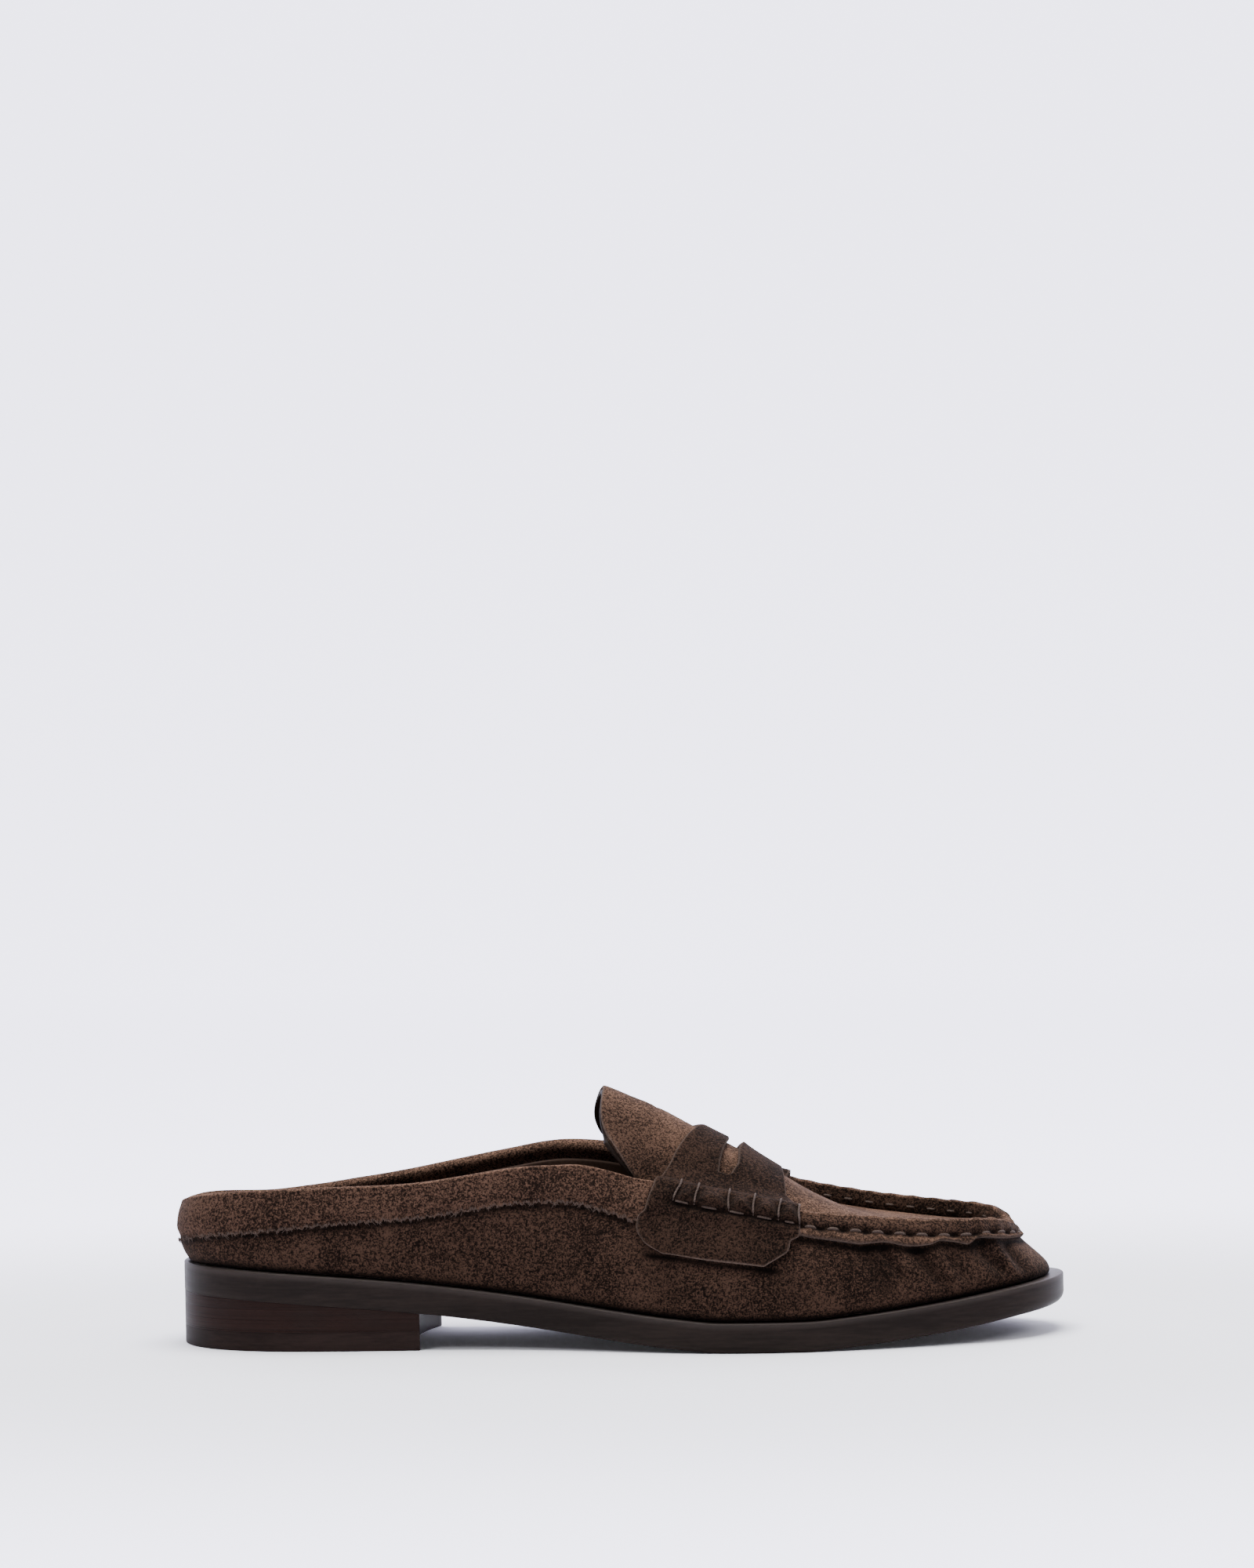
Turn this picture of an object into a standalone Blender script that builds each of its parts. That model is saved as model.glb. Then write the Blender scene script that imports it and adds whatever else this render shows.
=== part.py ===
"""A right loafer mule: a hollow suede upper with a sunk apron, a saddle strap and a bound collar,
on a leather sole with a low stacked heel.

Metres, +Z up, +X towards the toe, +Y towards the shoe's inner side. The origin is on the floor
under the middle of the heel. "Around" is a place on the shoe's outline: 0 at the back of the
heel, 1 at the toe along the outer side, and 2 at the heel again along the inner side.
"""

import math

import bmesh
import bpy
import numpy as np

# Driving sizes of the sole and heel
SOLE_LENGTH = 0.264
BALL_WIDTH = 0.088
SOLE_THICKNESS = 0.0086
SOLE_EDGE = 0.0009
TOE_EDGE = 0.0030
HEEL_RISE = 0.0161
TOE_SPRING = 0.0082
HEEL_LENGTH = 0.0745
BREAST_HOLLOW = 0.0045
LIFT_THICKNESS = 0.0056
INSOLE_THICKNESS = 0.003
HEEL_CENTRE = 0.034

# Driving sizes of the upper
WALL_HEIGHT = 0.040
WALL = 0.002
MARGIN_SIDE = 0.0016
MARGIN_TOE = 0.0034
LIP_HEIGHT = 0.0070
LIP_STEP = 0.0015
LIP_ROOT = 0.0012
CREST_WIDTH = 0.0030
GROOVE_WIDTH = 0.0010
GROOVE_DEPTH = 0.0028
APRON_CROWN = 0.0190
CROWN_SKEW = 0.09
TONGUE_REACH = 0.0158
TONGUE_RISE = 0.0084
TONGUE_WIDTH = 0.039
TONGUE_ARCH = 0.0145
TONGUE_SLANT = 0.0026
TONGUE_BOW = 0.0060
TONGUE_TURN = 0.0050
TONGUE_THICKNESS = 0.0029

# Driving sizes of the band and the strap
BAND_WIDTH = 0.0100
BAND_TURN = 0.0042
BAND_THICKNESS = 0.0012
STRAP_THICKNESS = 0.0015
SLOT_WIDTH = 0.0042
CLEARANCE = 0.0003
STRAP_CLEARANCE = 0.0004

# Fineness of the faceted solids
REAR_COLUMNS = 20
FRONT_COLUMNS = 20
WALL_ROWS = 5
APRON_STRIPS = 10
TONGUE_ROWS = 4
STRAP_COLUMNS = 7

# Where the wall's curve is pulled, as shares of its height
LOWER_PULL = 0.28
UPPER_PULL = 0.33

# Shares of SOLE_LENGTH: the throat, the growth of the seam's lip, and where the toe's own edges start
THROAT_ALONG = 0.546
LIP_STARTS = 0.552
LIP_ENDS = 0.585
TOE_MARGIN_STARTS = 0.76
TOE_EDGE_STARTS = 0.88

# One row for each section from the heel's back to the toe. Along and rim_along are shares of
# SOLE_LENGTH; outer, inner, rim_outer, rim_inner, belly and shoulder are shares of BALL_WIDTH;
# high_outer and high_inner are shares of WALL_HEIGHT above the sole; crown is a share of APRON_CROWN.
SECTION_COLUMNS = (
    "along", "outer", "inner", "rim_along", "rim_outer", "rim_inner",
    "high_outer", "high_inner", "belly", "shoulder", "crown",
)
SECTIONS = (
    (0.000, 0.000, 0.000, 0.004, 0.000, 0.000, 0.415, 0.415, 0.026, 0.020, 1.15),
    (0.019, -0.165, 0.160, 0.020, -0.148, 0.144, 0.460, 0.445, 0.024, 0.020, 1.15),
    (0.068, -0.286, 0.276, 0.070, -0.250, 0.242, 0.512, 0.462, 0.020, 0.018, 1.15),
    (0.159, -0.344, 0.325, 0.159, -0.296, 0.288, 0.578, 0.516, 0.022, 0.018, 1.15),
    (0.284, -0.347, 0.290, 0.284, -0.311, 0.279, 0.698, 0.715, 0.024, 0.022, 1.15),
    (0.398, -0.368, 0.280, 0.398, -0.308, 0.284, 0.900, 0.945, 0.026, 0.036, 1.15),
    (0.511, -0.445, 0.347, 0.508, -0.309, 0.298, 0.952, 1.030, 0.026, 0.078, 1.15),
    (0.606, -0.505, 0.432, 0.598, -0.341, 0.330, 0.905, 0.990, 0.028, 0.106, 0.91),
    (0.693, -0.507, 0.480, 0.685, -0.358, 0.347, 0.795, 0.875, 0.028, 0.106, 0.48),
    (0.780, -0.455, 0.475, 0.769, -0.324, 0.332, 0.683, 0.728, 0.024, 0.088, 0.10),
    (0.864, -0.372, 0.430, 0.845, -0.270, 0.301, 0.575, 0.608, 0.018, 0.062, 0.03),
    (0.932, -0.272, 0.350, 0.895, -0.205, 0.253, 0.470, 0.513, 0.010, 0.040, 0.03),
    (0.977, -0.140, 0.255, 0.926, -0.105, 0.178, 0.400, 0.440, 0.000, 0.022, 0.03),
    (1.000, 0.072, 0.072, 0.939, 0.048, 0.048, 0.350, 0.350, 0.000, 0.015, 0.00),
)

# The sole's rise over the floor: along is a share of SOLE_LENGTH, heel of HEEL_RISE, toe of TOE_SPRING.
RISE_COLUMNS = ("along", "heel", "toe")
RISE = (
    (0.000, 1.000, 0.00),
    (0.072, 0.944, 0.00),
    (0.163, 0.845, 0.00),
    (0.250, 0.727, 0.00),
    (0.337, 0.565, 0.00),
    (0.428, 0.366, 0.00),
    (0.515, 0.168, 0.00),
    (0.570, 0.065, 0.00),
    (0.622, 0.000, 0.00),
    (0.708, 0.000, 0.00),
    (0.773, 0.000, 0.15),
    (0.860, 0.000, 0.45),
    (0.902, 0.000, 0.63),
    (0.947, 0.000, 0.83),
    (1.000, 0.000, 1.00),
)

# The strap's rear and front edges, as shares of SOLE_LENGTH, from the flap's hem up to the middle.
STRAP_TABLE_COLUMNS = ("row", "rear", "front")
STRAP = (
    ("hem", 0.561, 0.674),
    ("corner", 0.541, 0.691),
    ("flap", 0.532, 0.702),
    ("lip", 0.537, 0.700),
    ("crest", 0.547, 0.701),
    ("inside", 0.5475, 0.6935),
    ("middle", 0.594, 0.690),
)
# How far back the strap's inner end lies from its outer end, as a share of SOLE_LENGTH
STRAP_SLANT = 0.018
# How its edges bend from the middle to a side: a higher blunting makes the bend in the middle rounder
STRAP_BLUNTING = 0.35
# The flap's rows, as shares of the rise of the lip's root
FLAP_RISES = (("hem", 0.64), ("corner", 0.73), ("flap", 0.85))
# Where the slot lies: its rear edge as a share of the strap's length there, and its first and last strip
SLOT_PLACE = 0.36
SLOT_STRIPS = (2, 8)
# The two strap columns that the slot's edges pull to themselves, and how they pull their neighbours
SLOT_COLUMNS = (3, 4)
SLOT_PULL = np.array([[0, 0.3, 0.7, 1, 0, 0, 0, 0], [0, 0, 0, 0, 1, 0.7, 0.3, 0]])

# The band's lines from its lower edge outside, over the rim, to its edge inside. Depth under the rim is
# a share of BAND_WIDTH outside and of BAND_TURN inside; side is 1 outside, 0 on top and -1 inside the
# wall; slant is how far its ends follow the strap's rear edge from the flap (0) to the crest (1).
BAND_COLUMNS = ("depth", "side", "slant")
BAND = (
    (1.00, 1, 0.00),
    (0.50, 1, 0.35),
    (0.21, 1, 0.70),
    (0.00, 1, 1.00),
    (0.00, 0, 0.90),
    (0.00, -1, 0.30),
    (0.50, -1, 0.00),
    (1.00, -1, 0.00),
)
# How much lower than its middle line the band's two top edges lie, and its gap to the strap
BAND_ROUNDING = 0.6
BAND_GAP = 0.0006

# How many steps the heel's front face has, and how often the insole's edge is halved towards the wall
BREAST_STEPS = 8
BISECTIONS = 16
SHARP_ANGLE = math.radians(35)
UP = np.array([0.0, 0.0, 1.0])

COLLECTION = "loafer_mule"


def column(table, names, name):
    """One named column of a table as an array."""
    return np.array([row[names.index(name)] for row in table])


def section(name):
    return column(SECTIONS, SECTION_COLUMNS, name)


def closed_spline(knots, values, period, at):
    """A cubic with continuous curvature through the values at the knots, repeating after the period."""
    step = np.diff(np.append(knots, knots[0] + period))
    slope_between = np.diff(np.append(values, values[0])) / step
    before = np.roll(step, 1)
    rows = np.arange(len(knots))
    matrix = np.zeros((len(knots), len(knots)))
    matrix[rows, rows] = 2 * (step + before)
    matrix[rows, rows - 1] = step
    matrix[rows, (rows + 1) % len(knots)] = before
    right = 3 * (before * slope_between + step * np.roll(slope_between, 1))
    slope = np.linalg.solve(matrix, right)
    place = np.mod(at, period)
    index = np.searchsorted(knots, place, side="right") - 1
    after = (index + 1) % len(knots)
    part = (place - knots[index]) / step[index]
    return (
        values[index] * (1 + 2 * part) * (1 - part) ** 2
        + values[after] * part ** 2 * (3 - 2 * part)
        + slope[index] * step[index] * part * (1 - part) ** 2
        - slope[after] * step[index] * part ** 2 * (1 - part)
    )


def eased(at, places, values):
    """A smooth curve through the values that never swings past them, and is level between equals."""
    step = np.diff(places)
    between = np.diff(values) / step
    same = between[1:] * between[:-1] > 0
    total = np.where(same, between[1:] + between[:-1], 1)
    inside = np.where(same, 2 * between[1:] * between[:-1] / total, 0)
    slope = np.concatenate([between[:1], inside, between[-1:]])
    index = np.clip(np.searchsorted(places, at, side="right") - 1, 0, len(step) - 1)
    part = (at - places[index]) / step[index]
    return (
        values[index] * (1 + 2 * part) * (1 - part) ** 2
        + values[index + 1] * part ** 2 * (3 - 2 * part)
        + slope[index] * step[index] * part * (1 - part) ** 2
        - slope[index + 1] * step[index] * part ** 2 * (1 - part)
    )


def knots_around():
    """The sections' places around the shoe, spaced as they lie on its mean outline."""
    forward = section("along") * SOLE_LENGTH
    aside = (section("inner") - section("outer")) / 2 * BALL_WIDTH
    steps = np.hypot(np.diff(forward), np.diff(aside))
    side = np.append(0, np.cumsum(steps)) / steps.sum()
    return np.concatenate([side, 2 - side[-2:0:-1]])


def around_curve(outer, inner, around):
    """A section value read anywhere around the shoe: outer side out, inner side back."""
    values = np.concatenate([section(outer), section(inner)[-2:0:-1]])
    return closed_spline(knots_around(), values, 2, around)


def sole_top(forward):
    """Height of the sole's top over the floor, from its place along the shoe."""
    return SOLE_THICKNESS + sole_bottom(forward)


def sole_bottom(forward):
    share = np.clip((forward + HEEL_CENTRE) / SOLE_LENGTH, 0, 1)
    places = column(RISE, RISE_COLUMNS, "along")
    heel = eased(share, places, column(RISE, RISE_COLUMNS, "heel"))
    toe = eased(share, places, column(RISE, RISE_COLUMNS, "toe"))
    return heel * HEEL_RISE + toe * TOE_SPRING


def outline(around, inset=0.0):
    """The sole's outline in plan, moved inwards by the inset, and its outward direction."""
    def plan(at):
        forward = around_curve("along", "along", at) * SOLE_LENGTH - HEEL_CENTRE
        return np.stack([forward, around_curve("outer", "inner", at) * BALL_WIDTH], axis=-1)

    small = 1e-4
    run = plan(around + small) - plan(around - small)
    outward = np.stack([run[..., 1], -run[..., 0]], axis=-1)
    outward /= np.linalg.norm(outward, axis=-1, keepdims=True)
    return plan(around) - outward * np.asarray(inset)[..., None], outward


def station(along, name="along"):
    """Where around the outer side a section column has a share of the sole's length."""
    side = np.linspace(0, 1, 400)
    return np.interp(along, around_curve(name, name, side), side)


def columns_around():
    """The places of the mesh's columns, even from the heel to the throat and from there to the toe."""
    throat = station(THROAT_ALONG)
    rear = np.linspace(0, throat, REAR_COLUMNS + 1)[:-1]
    side = np.append(rear, np.linspace(throat, 1, FRONT_COLUMNS + 1))
    return np.concatenate([side, 2 - side[-2:0:-1]])


def ramp(value, start, end):
    """A smooth climb from 0 at the start to 1 at the end."""
    share = np.clip((value - start) / (end - start), 0, 1)
    return share * share * (3 - 2 * share)


def toe_size(around, side_size, toe_size_there, starts):
    """A size that is even along the sides and eases to its value at the toe."""
    along = around_curve("along", "along", around)
    return side_size + (toe_size_there - side_size) * ramp(along, starts, 1)


def rim_line(around):
    """The wall's upper line: the collar's rim behind the throat, the seam's ridge in front of it."""
    level = sole_top(outline(around)[0][..., 0])
    return np.stack(
        [
            around_curve("rim_along", "rim_along", around) * SOLE_LENGTH - HEEL_CENTRE,
            around_curve("rim_outer", "rim_inner", around) * BALL_WIDTH,
            level + around_curve("high_outer", "high_inner", around) * WALL_HEIGHT,
        ],
        axis=-1,
    )


def wall(around, rise):
    """The wall's outer face: a cubic from the feather line (rise 0), first upright and pulled out by
    the belly, then leaning in from the shoulder to the rim line (rise 1)."""
    around, rise = np.broadcast_arrays(around, rise)
    foot, outward = outline(around, toe_size(around, MARGIN_SIDE, MARGIN_TOE, TOE_MARGIN_STARTS))
    low = np.concatenate([foot, sole_top(foot[..., :1]) + CLEARANCE], axis=-1)
    high = rim_line(around)
    climb = (high - low)[..., 2:] * UP
    out = np.concatenate([outward, np.zeros_like(foot[..., :1])], axis=-1) * BALL_WIDTH
    belly = around_curve("belly", "belly", around)[..., None]
    shoulder = around_curve("shoulder", "shoulder", around)[..., None]
    first = low + out * belly + climb * LOWER_PULL
    second = high + out * shoulder - climb * UPPER_PULL
    part = rise[..., None]
    rest = 1 - part
    return rest ** 3 * low + 3 * rest ** 2 * part * first + 3 * rest * part ** 2 * second + part ** 3 * high


def facing(places):
    """Unit normals of an open grid of points, from its two directions."""
    normal = np.cross(np.gradient(places, axis=0), np.gradient(places, axis=1))
    return normal / np.maximum(np.linalg.norm(normal, axis=-1, keepdims=True), 1e-12)


def wall_facing(around, rise):
    """The wall's outward normal at any place on it."""
    small = 1e-3
    along = wall(around + small, rise) - wall(around - small, rise)
    upward = wall(around, rise + small) - wall(around, rise - small)
    normal = np.cross(along, upward)
    return normal / np.linalg.norm(normal, axis=-1, keepdims=True)


def rise_below(around, depth):
    """The rise that lies a depth under the rim, measured along the wall."""
    length = np.linalg.norm(wall(around, 1.0) - wall(around, 0.0), axis=-1)
    return 1 - depth / length


def wall_rises(around):
    """Rises of the wall's rows: even up to the root of the seam's lip, then the lip's foot and the rim."""
    root = rise_below(around, LIP_HEIGHT + LIP_ROOT)
    even = np.arange(WALL_ROWS + 1) / WALL_ROWS * root[:, None]
    return np.column_stack([even, rise_below(around, LIP_HEIGHT), np.ones_like(root)])


def upper_section(around):
    """The upper's outer face at each place: the wall's rows, then the ridge's inner shoulder and the
    groove. In front of the throat the two rows at the lip's foot and at the rim stand out by the lip."""
    rises = wall_rises(around)
    places = wall(around[:, None], rises)
    lip = ramp(around_curve("along", "along", around), LIP_STARTS, LIP_ENDS)[:, None, None] * LIP_STEP
    places[:, -2:] += wall_facing(around[:, None], rises[:, -2:]) * lip
    inward = -np.column_stack([outline(around)[1], np.zeros_like(around)])
    rim = rim_line(around)
    shoulder = rim + inward * CREST_WIDTH / 2
    groove = rim + inward * (CREST_WIDTH / 2 + GROOVE_WIDTH) - UP * GROOVE_DEPTH
    return np.concatenate([places, shoulder[:, None], groove[:, None]], axis=1)


def apron_rows(around):
    """The apron from groove to groove, a row for each place: straight across, crowned by a parabola
    that reaches further forward on the outer side."""
    across = np.linspace(0, 1, APRON_STRIPS + 1)[None, :, None]
    outer_edge = upper_section(around)[:, -1][:, None]
    inner_edge = upper_section(np.mod(-around, 2))[:, -1][:, None]
    shifted = around[:, None, None] + CROWN_SKEW * (across - 0.5)
    crown = around_curve("crown", "crown", shifted) * APRON_CROWN
    line = outer_edge * (1 - across) + inner_edge * across
    return line + UP * crown * 4 * across * (1 - across)


def tongue_rows(root):
    """The tongue's rows from its arched free edge forward, straight from there to the apron's first row."""
    across = np.linspace(-1, 1, APRON_STRIPS + 1)
    middle = root[APRON_STRIPS // 2]
    bow = TONGUE_TURN * across ** 4 - TONGUE_BOW * across ** 2 - TONGUE_SLANT * across
    edge = np.stack(
        [
            middle[0] - TONGUE_REACH + bow,
            middle[1] + across * TONGUE_WIDTH / 2,
            middle[2] + TONGUE_RISE - TONGUE_ARCH * across ** 2,
        ],
        axis=1,
    )
    reach = np.arange(TONGUE_ROWS, 0, -1)[:, None, None] / TONGUE_ROWS
    return root + (edge - root) * reach


def material(name, colour, roughness):
    """A plain finish of one colour."""
    finish = bpy.data.materials.new(name)
    finish.use_nodes = True
    shader = finish.node_tree.nodes["Principled BSDF"]
    shader.inputs["Base Color"].default_value = (*colour, 1)
    shader.inputs["Roughness"].default_value = roughness
    shader.inputs["Metallic"].default_value = 0
    return finish


def add_piece(name, places, faces, finish):
    """A named object from points and faces, without the points that no face uses."""
    mesh = bpy.data.meshes.new(name)
    build = bmesh.new()
    points = [build.verts.new(place) for place in np.asarray(places).tolist()]
    for face in faces:
        build.faces.new([points[corner] for corner in face])
    loose = [vert for vert in build.verts if not vert.link_faces]
    bmesh.ops.delete(build, geom=loose, context="VERTS")
    bmesh.ops.triangulate(build, faces=build.faces)
    build.to_mesh(mesh)
    build.free()
    mesh.shade_smooth()
    mesh.set_sharp_from_angle(angle=SHARP_ANGLE)
    mesh.materials.append(finish)
    piece = bpy.data.objects.new(name, mesh)
    bpy.data.collections[COLLECTION].objects.link(piece)
    return piece


def grid_faces(index):
    """Four-sided faces of a grid of point numbers, or three-sided where two numbers are one."""
    corners = np.stack([index[:-1, :-1], index[1:, :-1], index[1:, 1:], index[:-1, 1:]], axis=-1)
    faces = [list(dict.fromkeys(face)) for face in corners.reshape(-1, 4).tolist()]
    return [face for face in faces if len(face) > 2]


def grid_index(places, first=0):
    """Point numbers of a grid of places that starts at a number."""
    return first + np.arange(places[..., 0].size).reshape(places.shape[:2])


def make_shell(name, outer, inner, faces, finish):
    """A wall between two skins of like points: both skins, and a strip along every open edge."""
    outer, inner = outer.reshape(-1, 3), inner.reshape(-1, 3)
    count = len(outer)
    runs = [(face[k - 1], face[k]) for face in faces for k in range(len(face))]
    known = set(runs)
    edges = [run for run in runs if run[::-1] not in known]
    back = [[corner + count for corner in reversed(face)] for face in faces]
    strips = [[end, start, start + count, end + count] for start, end in edges]
    return add_piece(name, np.concatenate([outer, inner]), faces + back + strips, finish)


def inner_wall_rows(around, seam, root_row, groove):
    """The inner face of the wall's rows: the wall's thickness inside it, and under the ridge a plain
    slope from the lip's root to the underside of the groove."""
    rises = wall_rises(around)
    rows = wall(around[:, None], rises) - wall_facing(around[:, None], rises) * WALL
    rows[:, 0, 2] = sole_top(rows[:, 0, 0]) + CLEARANCE
    rows = np.concatenate([rows, rows[:, -1:], rows[:, -1:]], axis=1)
    ridge = rows.shape[1] - 1 - root_row
    along = around_curve("along", "along", around[seam])
    blend = ramp(along, THROAT_ALONG - (LIP_ENDS - LIP_STARTS) / 2, LIP_ENDS)[:, None]
    for step in range(1, ridge + 1):
        slope = rows[seam, root_row] + (groove - rows[seam, root_row]) * step / ridge
        weight = blend if step < ridge - 1 else 1
        rows[seam, root_row + step] += (slope - rows[seam, root_row + step]) * weight
    return rows


def make_upper(finish):
    """The wall, the raised seam, the sunk apron and the tongue, as one hollow solid."""
    around = columns_around()
    count, toe = len(around), len(around) // 2
    outer_side = np.arange(REAR_COLUMNS, toe + 1)
    inner_side = -outer_side % count
    rows = upper_section(around)
    apron = apron_rows(around[outer_side])
    sheet = np.concatenate([tongue_rows(apron[0]), apron])

    wall_index = grid_index(rows)
    sheet_index = grid_index(sheet, wall_index.size)
    sheet_index[TONGUE_ROWS:, 0] = wall_index[outer_side, -1]
    sheet_index[TONGUE_ROWS:, -1] = wall_index[inner_side, -1]
    sheet_index[-1, :] = wall_index[toe, -1]
    joined = np.concatenate([wall_index, wall_index[:1]])
    rim_row = WALL_ROWS + 2
    faces = grid_faces(joined[:, : rim_row + 1])
    faces += grid_faces(joined[REAR_COLUMNS : count - REAR_COLUMNS + 1, rim_row:])
    faces += grid_faces(sheet_index)

    upward = facing(sheet)
    upward[-1] = UP
    thick = np.where(np.arange(len(sheet)) < TONGUE_ROWS, TONGUE_THICKNESS, WALL)
    inner_sheet = sheet - upward * thick[:, None, None]
    seam = np.concatenate([outer_side, inner_side[-2::-1]])
    groove = np.concatenate([inner_sheet[TONGUE_ROWS:, 0], inner_sheet[-2 : TONGUE_ROWS - 1 : -1, -1]])
    inner_rows = inner_wall_rows(around, seam, WALL_ROWS, groove)
    outer = np.concatenate([rows.reshape(-1, 3), sheet.reshape(-1, 3)])
    inner = np.concatenate([inner_rows.reshape(-1, 3), inner_sheet.reshape(-1, 3)])
    return make_shell("upper", outer, inner, faces, finish)


def paired_caps(count):
    """Faces across a ring of points, each strip between a place and its like on the other side."""
    side = np.arange(count // 2 + 1)
    return grid_faces(np.column_stack([side, -side % count]))


def make_loft(name, rings, caps, finish):
    """A solid from a stack of like rings, lowest first, closed by the same cap faces at both ends."""
    index = grid_index(np.stack(rings))
    joined = np.concatenate([index, index[:, :1]], axis=1)
    sides = [face[::-1] for face in grid_faces(joined)]
    low = [face[::-1] for face in caps]
    high = [[corner + index[-1, 0] for corner in face] for face in caps]
    return add_piece(name, np.concatenate(rings), sides + low + high, finish)


def make_outsole(finish):
    """The sole: a softened lower edge, a straight side, and a top that follows the bottom."""
    around = columns_around()
    soft = toe_size(around, SOLE_EDGE, TOE_EDGE, TOE_EDGE_STARTS)
    tread = outline(around, soft)[0]
    side = outline(around)[0]
    rings = [
        np.column_stack([tread, sole_bottom(tread[:, 0])]),
        np.column_stack([side, sole_bottom(side[:, 0]) + soft]),
        np.column_stack([side, sole_top(side[:, 0])]),
    ]
    return make_loft("outsole", rings, paired_caps(len(around)), finish)


def make_insole(finish):
    """The footbed: its edge clears the wall both at the sole and at the height of its own top."""
    around = columns_around()
    low, high = np.zeros_like(around), np.ones_like(around)
    for _ in range(BISECTIONS):
        rise = (low + high) / 2
        place = wall(around, rise)
        above = place[:, 2] > sole_top(place[:, 0]) + CLEARANCE + INSOLE_THICKNESS
        low, high = np.where(above, low, rise), np.where(above, rise, high)
    outward = outline(around)[1]
    upright = np.sum(wall_facing(around, high)[:, :2] * outward, axis=1)
    foot, brow = wall(around, 0.0)[:, :2], wall(around, high)[:, :2]
    lean = np.minimum(np.sum((foot - brow) * outward, axis=1), 0)
    inset = (WALL + 2 * CLEARANCE) / upright - lean
    plan = brow - outward * inset[:, None]
    under = np.column_stack([plan, sole_top(plan[:, 0]) + CLEARANCE])
    return make_loft("insole", [under, under + UP * INSOLE_THICKNESS], paired_caps(len(around)), finish)


def heel_plan():
    """The heel's outline: the sole's own round the back, then the hollowed front face."""
    corner = station(HEEL_LENGTH / SOLE_LENGTH)
    back = np.linspace(0, corner, REAR_COLUMNS)
    outer_side, inner_side = outline(back)[0], outline(2 - back)[0]
    share = np.linspace(0, 1, BREAST_STEPS + 1)[1:-1, None]
    breast = outer_side[-1] * (1 - share) + inner_side[-1] * share
    breast[:, :1] -= BREAST_HOLLOW * 4 * share * (1 - share)
    return np.concatenate([outer_side, breast, inner_side[:0:-1]])


def make_heel(stack_finish, lift_finish):
    """The stacked heel between the sole and the top lift, and the lift flat on the floor. Their caps
    are strips from side to side up to twice the hollow behind the front, then one face."""
    plan = heel_plan()
    count = len(plan)
    last = int(np.argmax(plan[:, 0] > plan[REAR_COLUMNS - 1, 0] - BREAST_HOLLOW * 2)) - 1
    pairs = np.arange(last + 1)
    caps = grid_faces(np.column_stack([pairs, -pairs % count]))
    caps.append(list(range(last, count - last + 1)))
    seat = np.column_stack([plan, sole_bottom(plan[:, 0]) - CLEARANCE])
    foot = np.column_stack([plan, np.full(count, LIFT_THICKNESS + CLEARANCE)])
    floor = np.column_stack([plan, np.zeros(count)])
    make_loft("heel_stack", [foot, seat], caps, stack_finish)
    make_loft("top_lift", [floor, floor + UP * LIFT_THICKNESS], caps, lift_finish)


def strap_edge(row, edge, side):
    """A strap edge's place along the shoe: side is -1 at its outer end, 0 in the middle, 1 at the inner."""
    line = next(line for line in STRAP if line[0] == row)
    return line[STRAP_TABLE_COLUMNS.index(edge)] - STRAP_SLANT * (1 + side) / 2


def strap_seat():
    """The upper's outer face under the strap: a line of places from rear to front for each row, from
    the outer flap's hem over the ridge and the apron to the inner flap's hem."""
    fixed = np.linspace(0, 1, STRAP_COLUMNS + 1)
    slot = SLOT_WIDTH / SOLE_LENGTH / (strap_edge("middle", "front", 0) - strap_edge("middle", "rear", 0))
    part = fixed + (np.array([SLOT_PLACE, SLOT_PLACE + slot]) - fixed[list(SLOT_COLUMNS)]) @ SLOT_PULL

    def span(row, side, name):
        rear, front = strap_edge(row, "rear", side), strap_edge(row, "front", side)
        return np.mod(-side * station(rear + (front - rear) * part, name), 2)

    ends = {}
    for side in (-1, 1):
        lines = []
        for row, share in FLAP_RISES:
            at = span(row, side, "along")
            lines.append(wall(at, wall_rises(at)[:, WALL_ROWS] * share))
        for row, place in (("lip", -4), ("crest", -3), ("inside", -2)):
            lines.append(upper_section(span(row, side, "rim_along"))[:, place])
        ends[side] = lines
    top = []
    for strip in range(1, APRON_STRIPS):
        side = 2 * strip / APRON_STRIPS - 1
        edges = []
        for edge in ("rear", "front"):
            middle, end = strap_edge("middle", edge, side), strap_edge("inside", edge, side)
            bend = side ** 2 * (1 + STRAP_BLUNTING) / (abs(side) + STRAP_BLUNTING)
            edges.append(middle + (end - middle) * bend)
        at = station(edges[0] + (edges[1] - edges[0]) * part, "rim_along")
        top.append(apron_rows(at)[:, strip])
    return np.stack(ends[-1] + top + ends[1][::-1])


def make_strap(finish):
    """The saddle strap: a sheet over the upper, with a slot cut across it over the apron."""
    seat = strap_seat()
    index = grid_index(seat)
    first, last = (len(FLAP_RISES) + 2 + strip for strip in SLOT_STRIPS)
    rear, front = SLOT_COLUMNS
    faces = grid_faces(index[: first + 1])
    faces += grid_faces(index[first : last + 1, : rear + 1])
    faces += grid_faces(index[first : last + 1, front:])
    faces += grid_faces(index[last:])
    outward = -facing(seat)
    near = seat + outward * STRAP_CLEARANCE
    far = near + outward * STRAP_THICKNESS
    return make_shell("saddle_strap", far, near, [face[::-1] for face in faces], finish)


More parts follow.
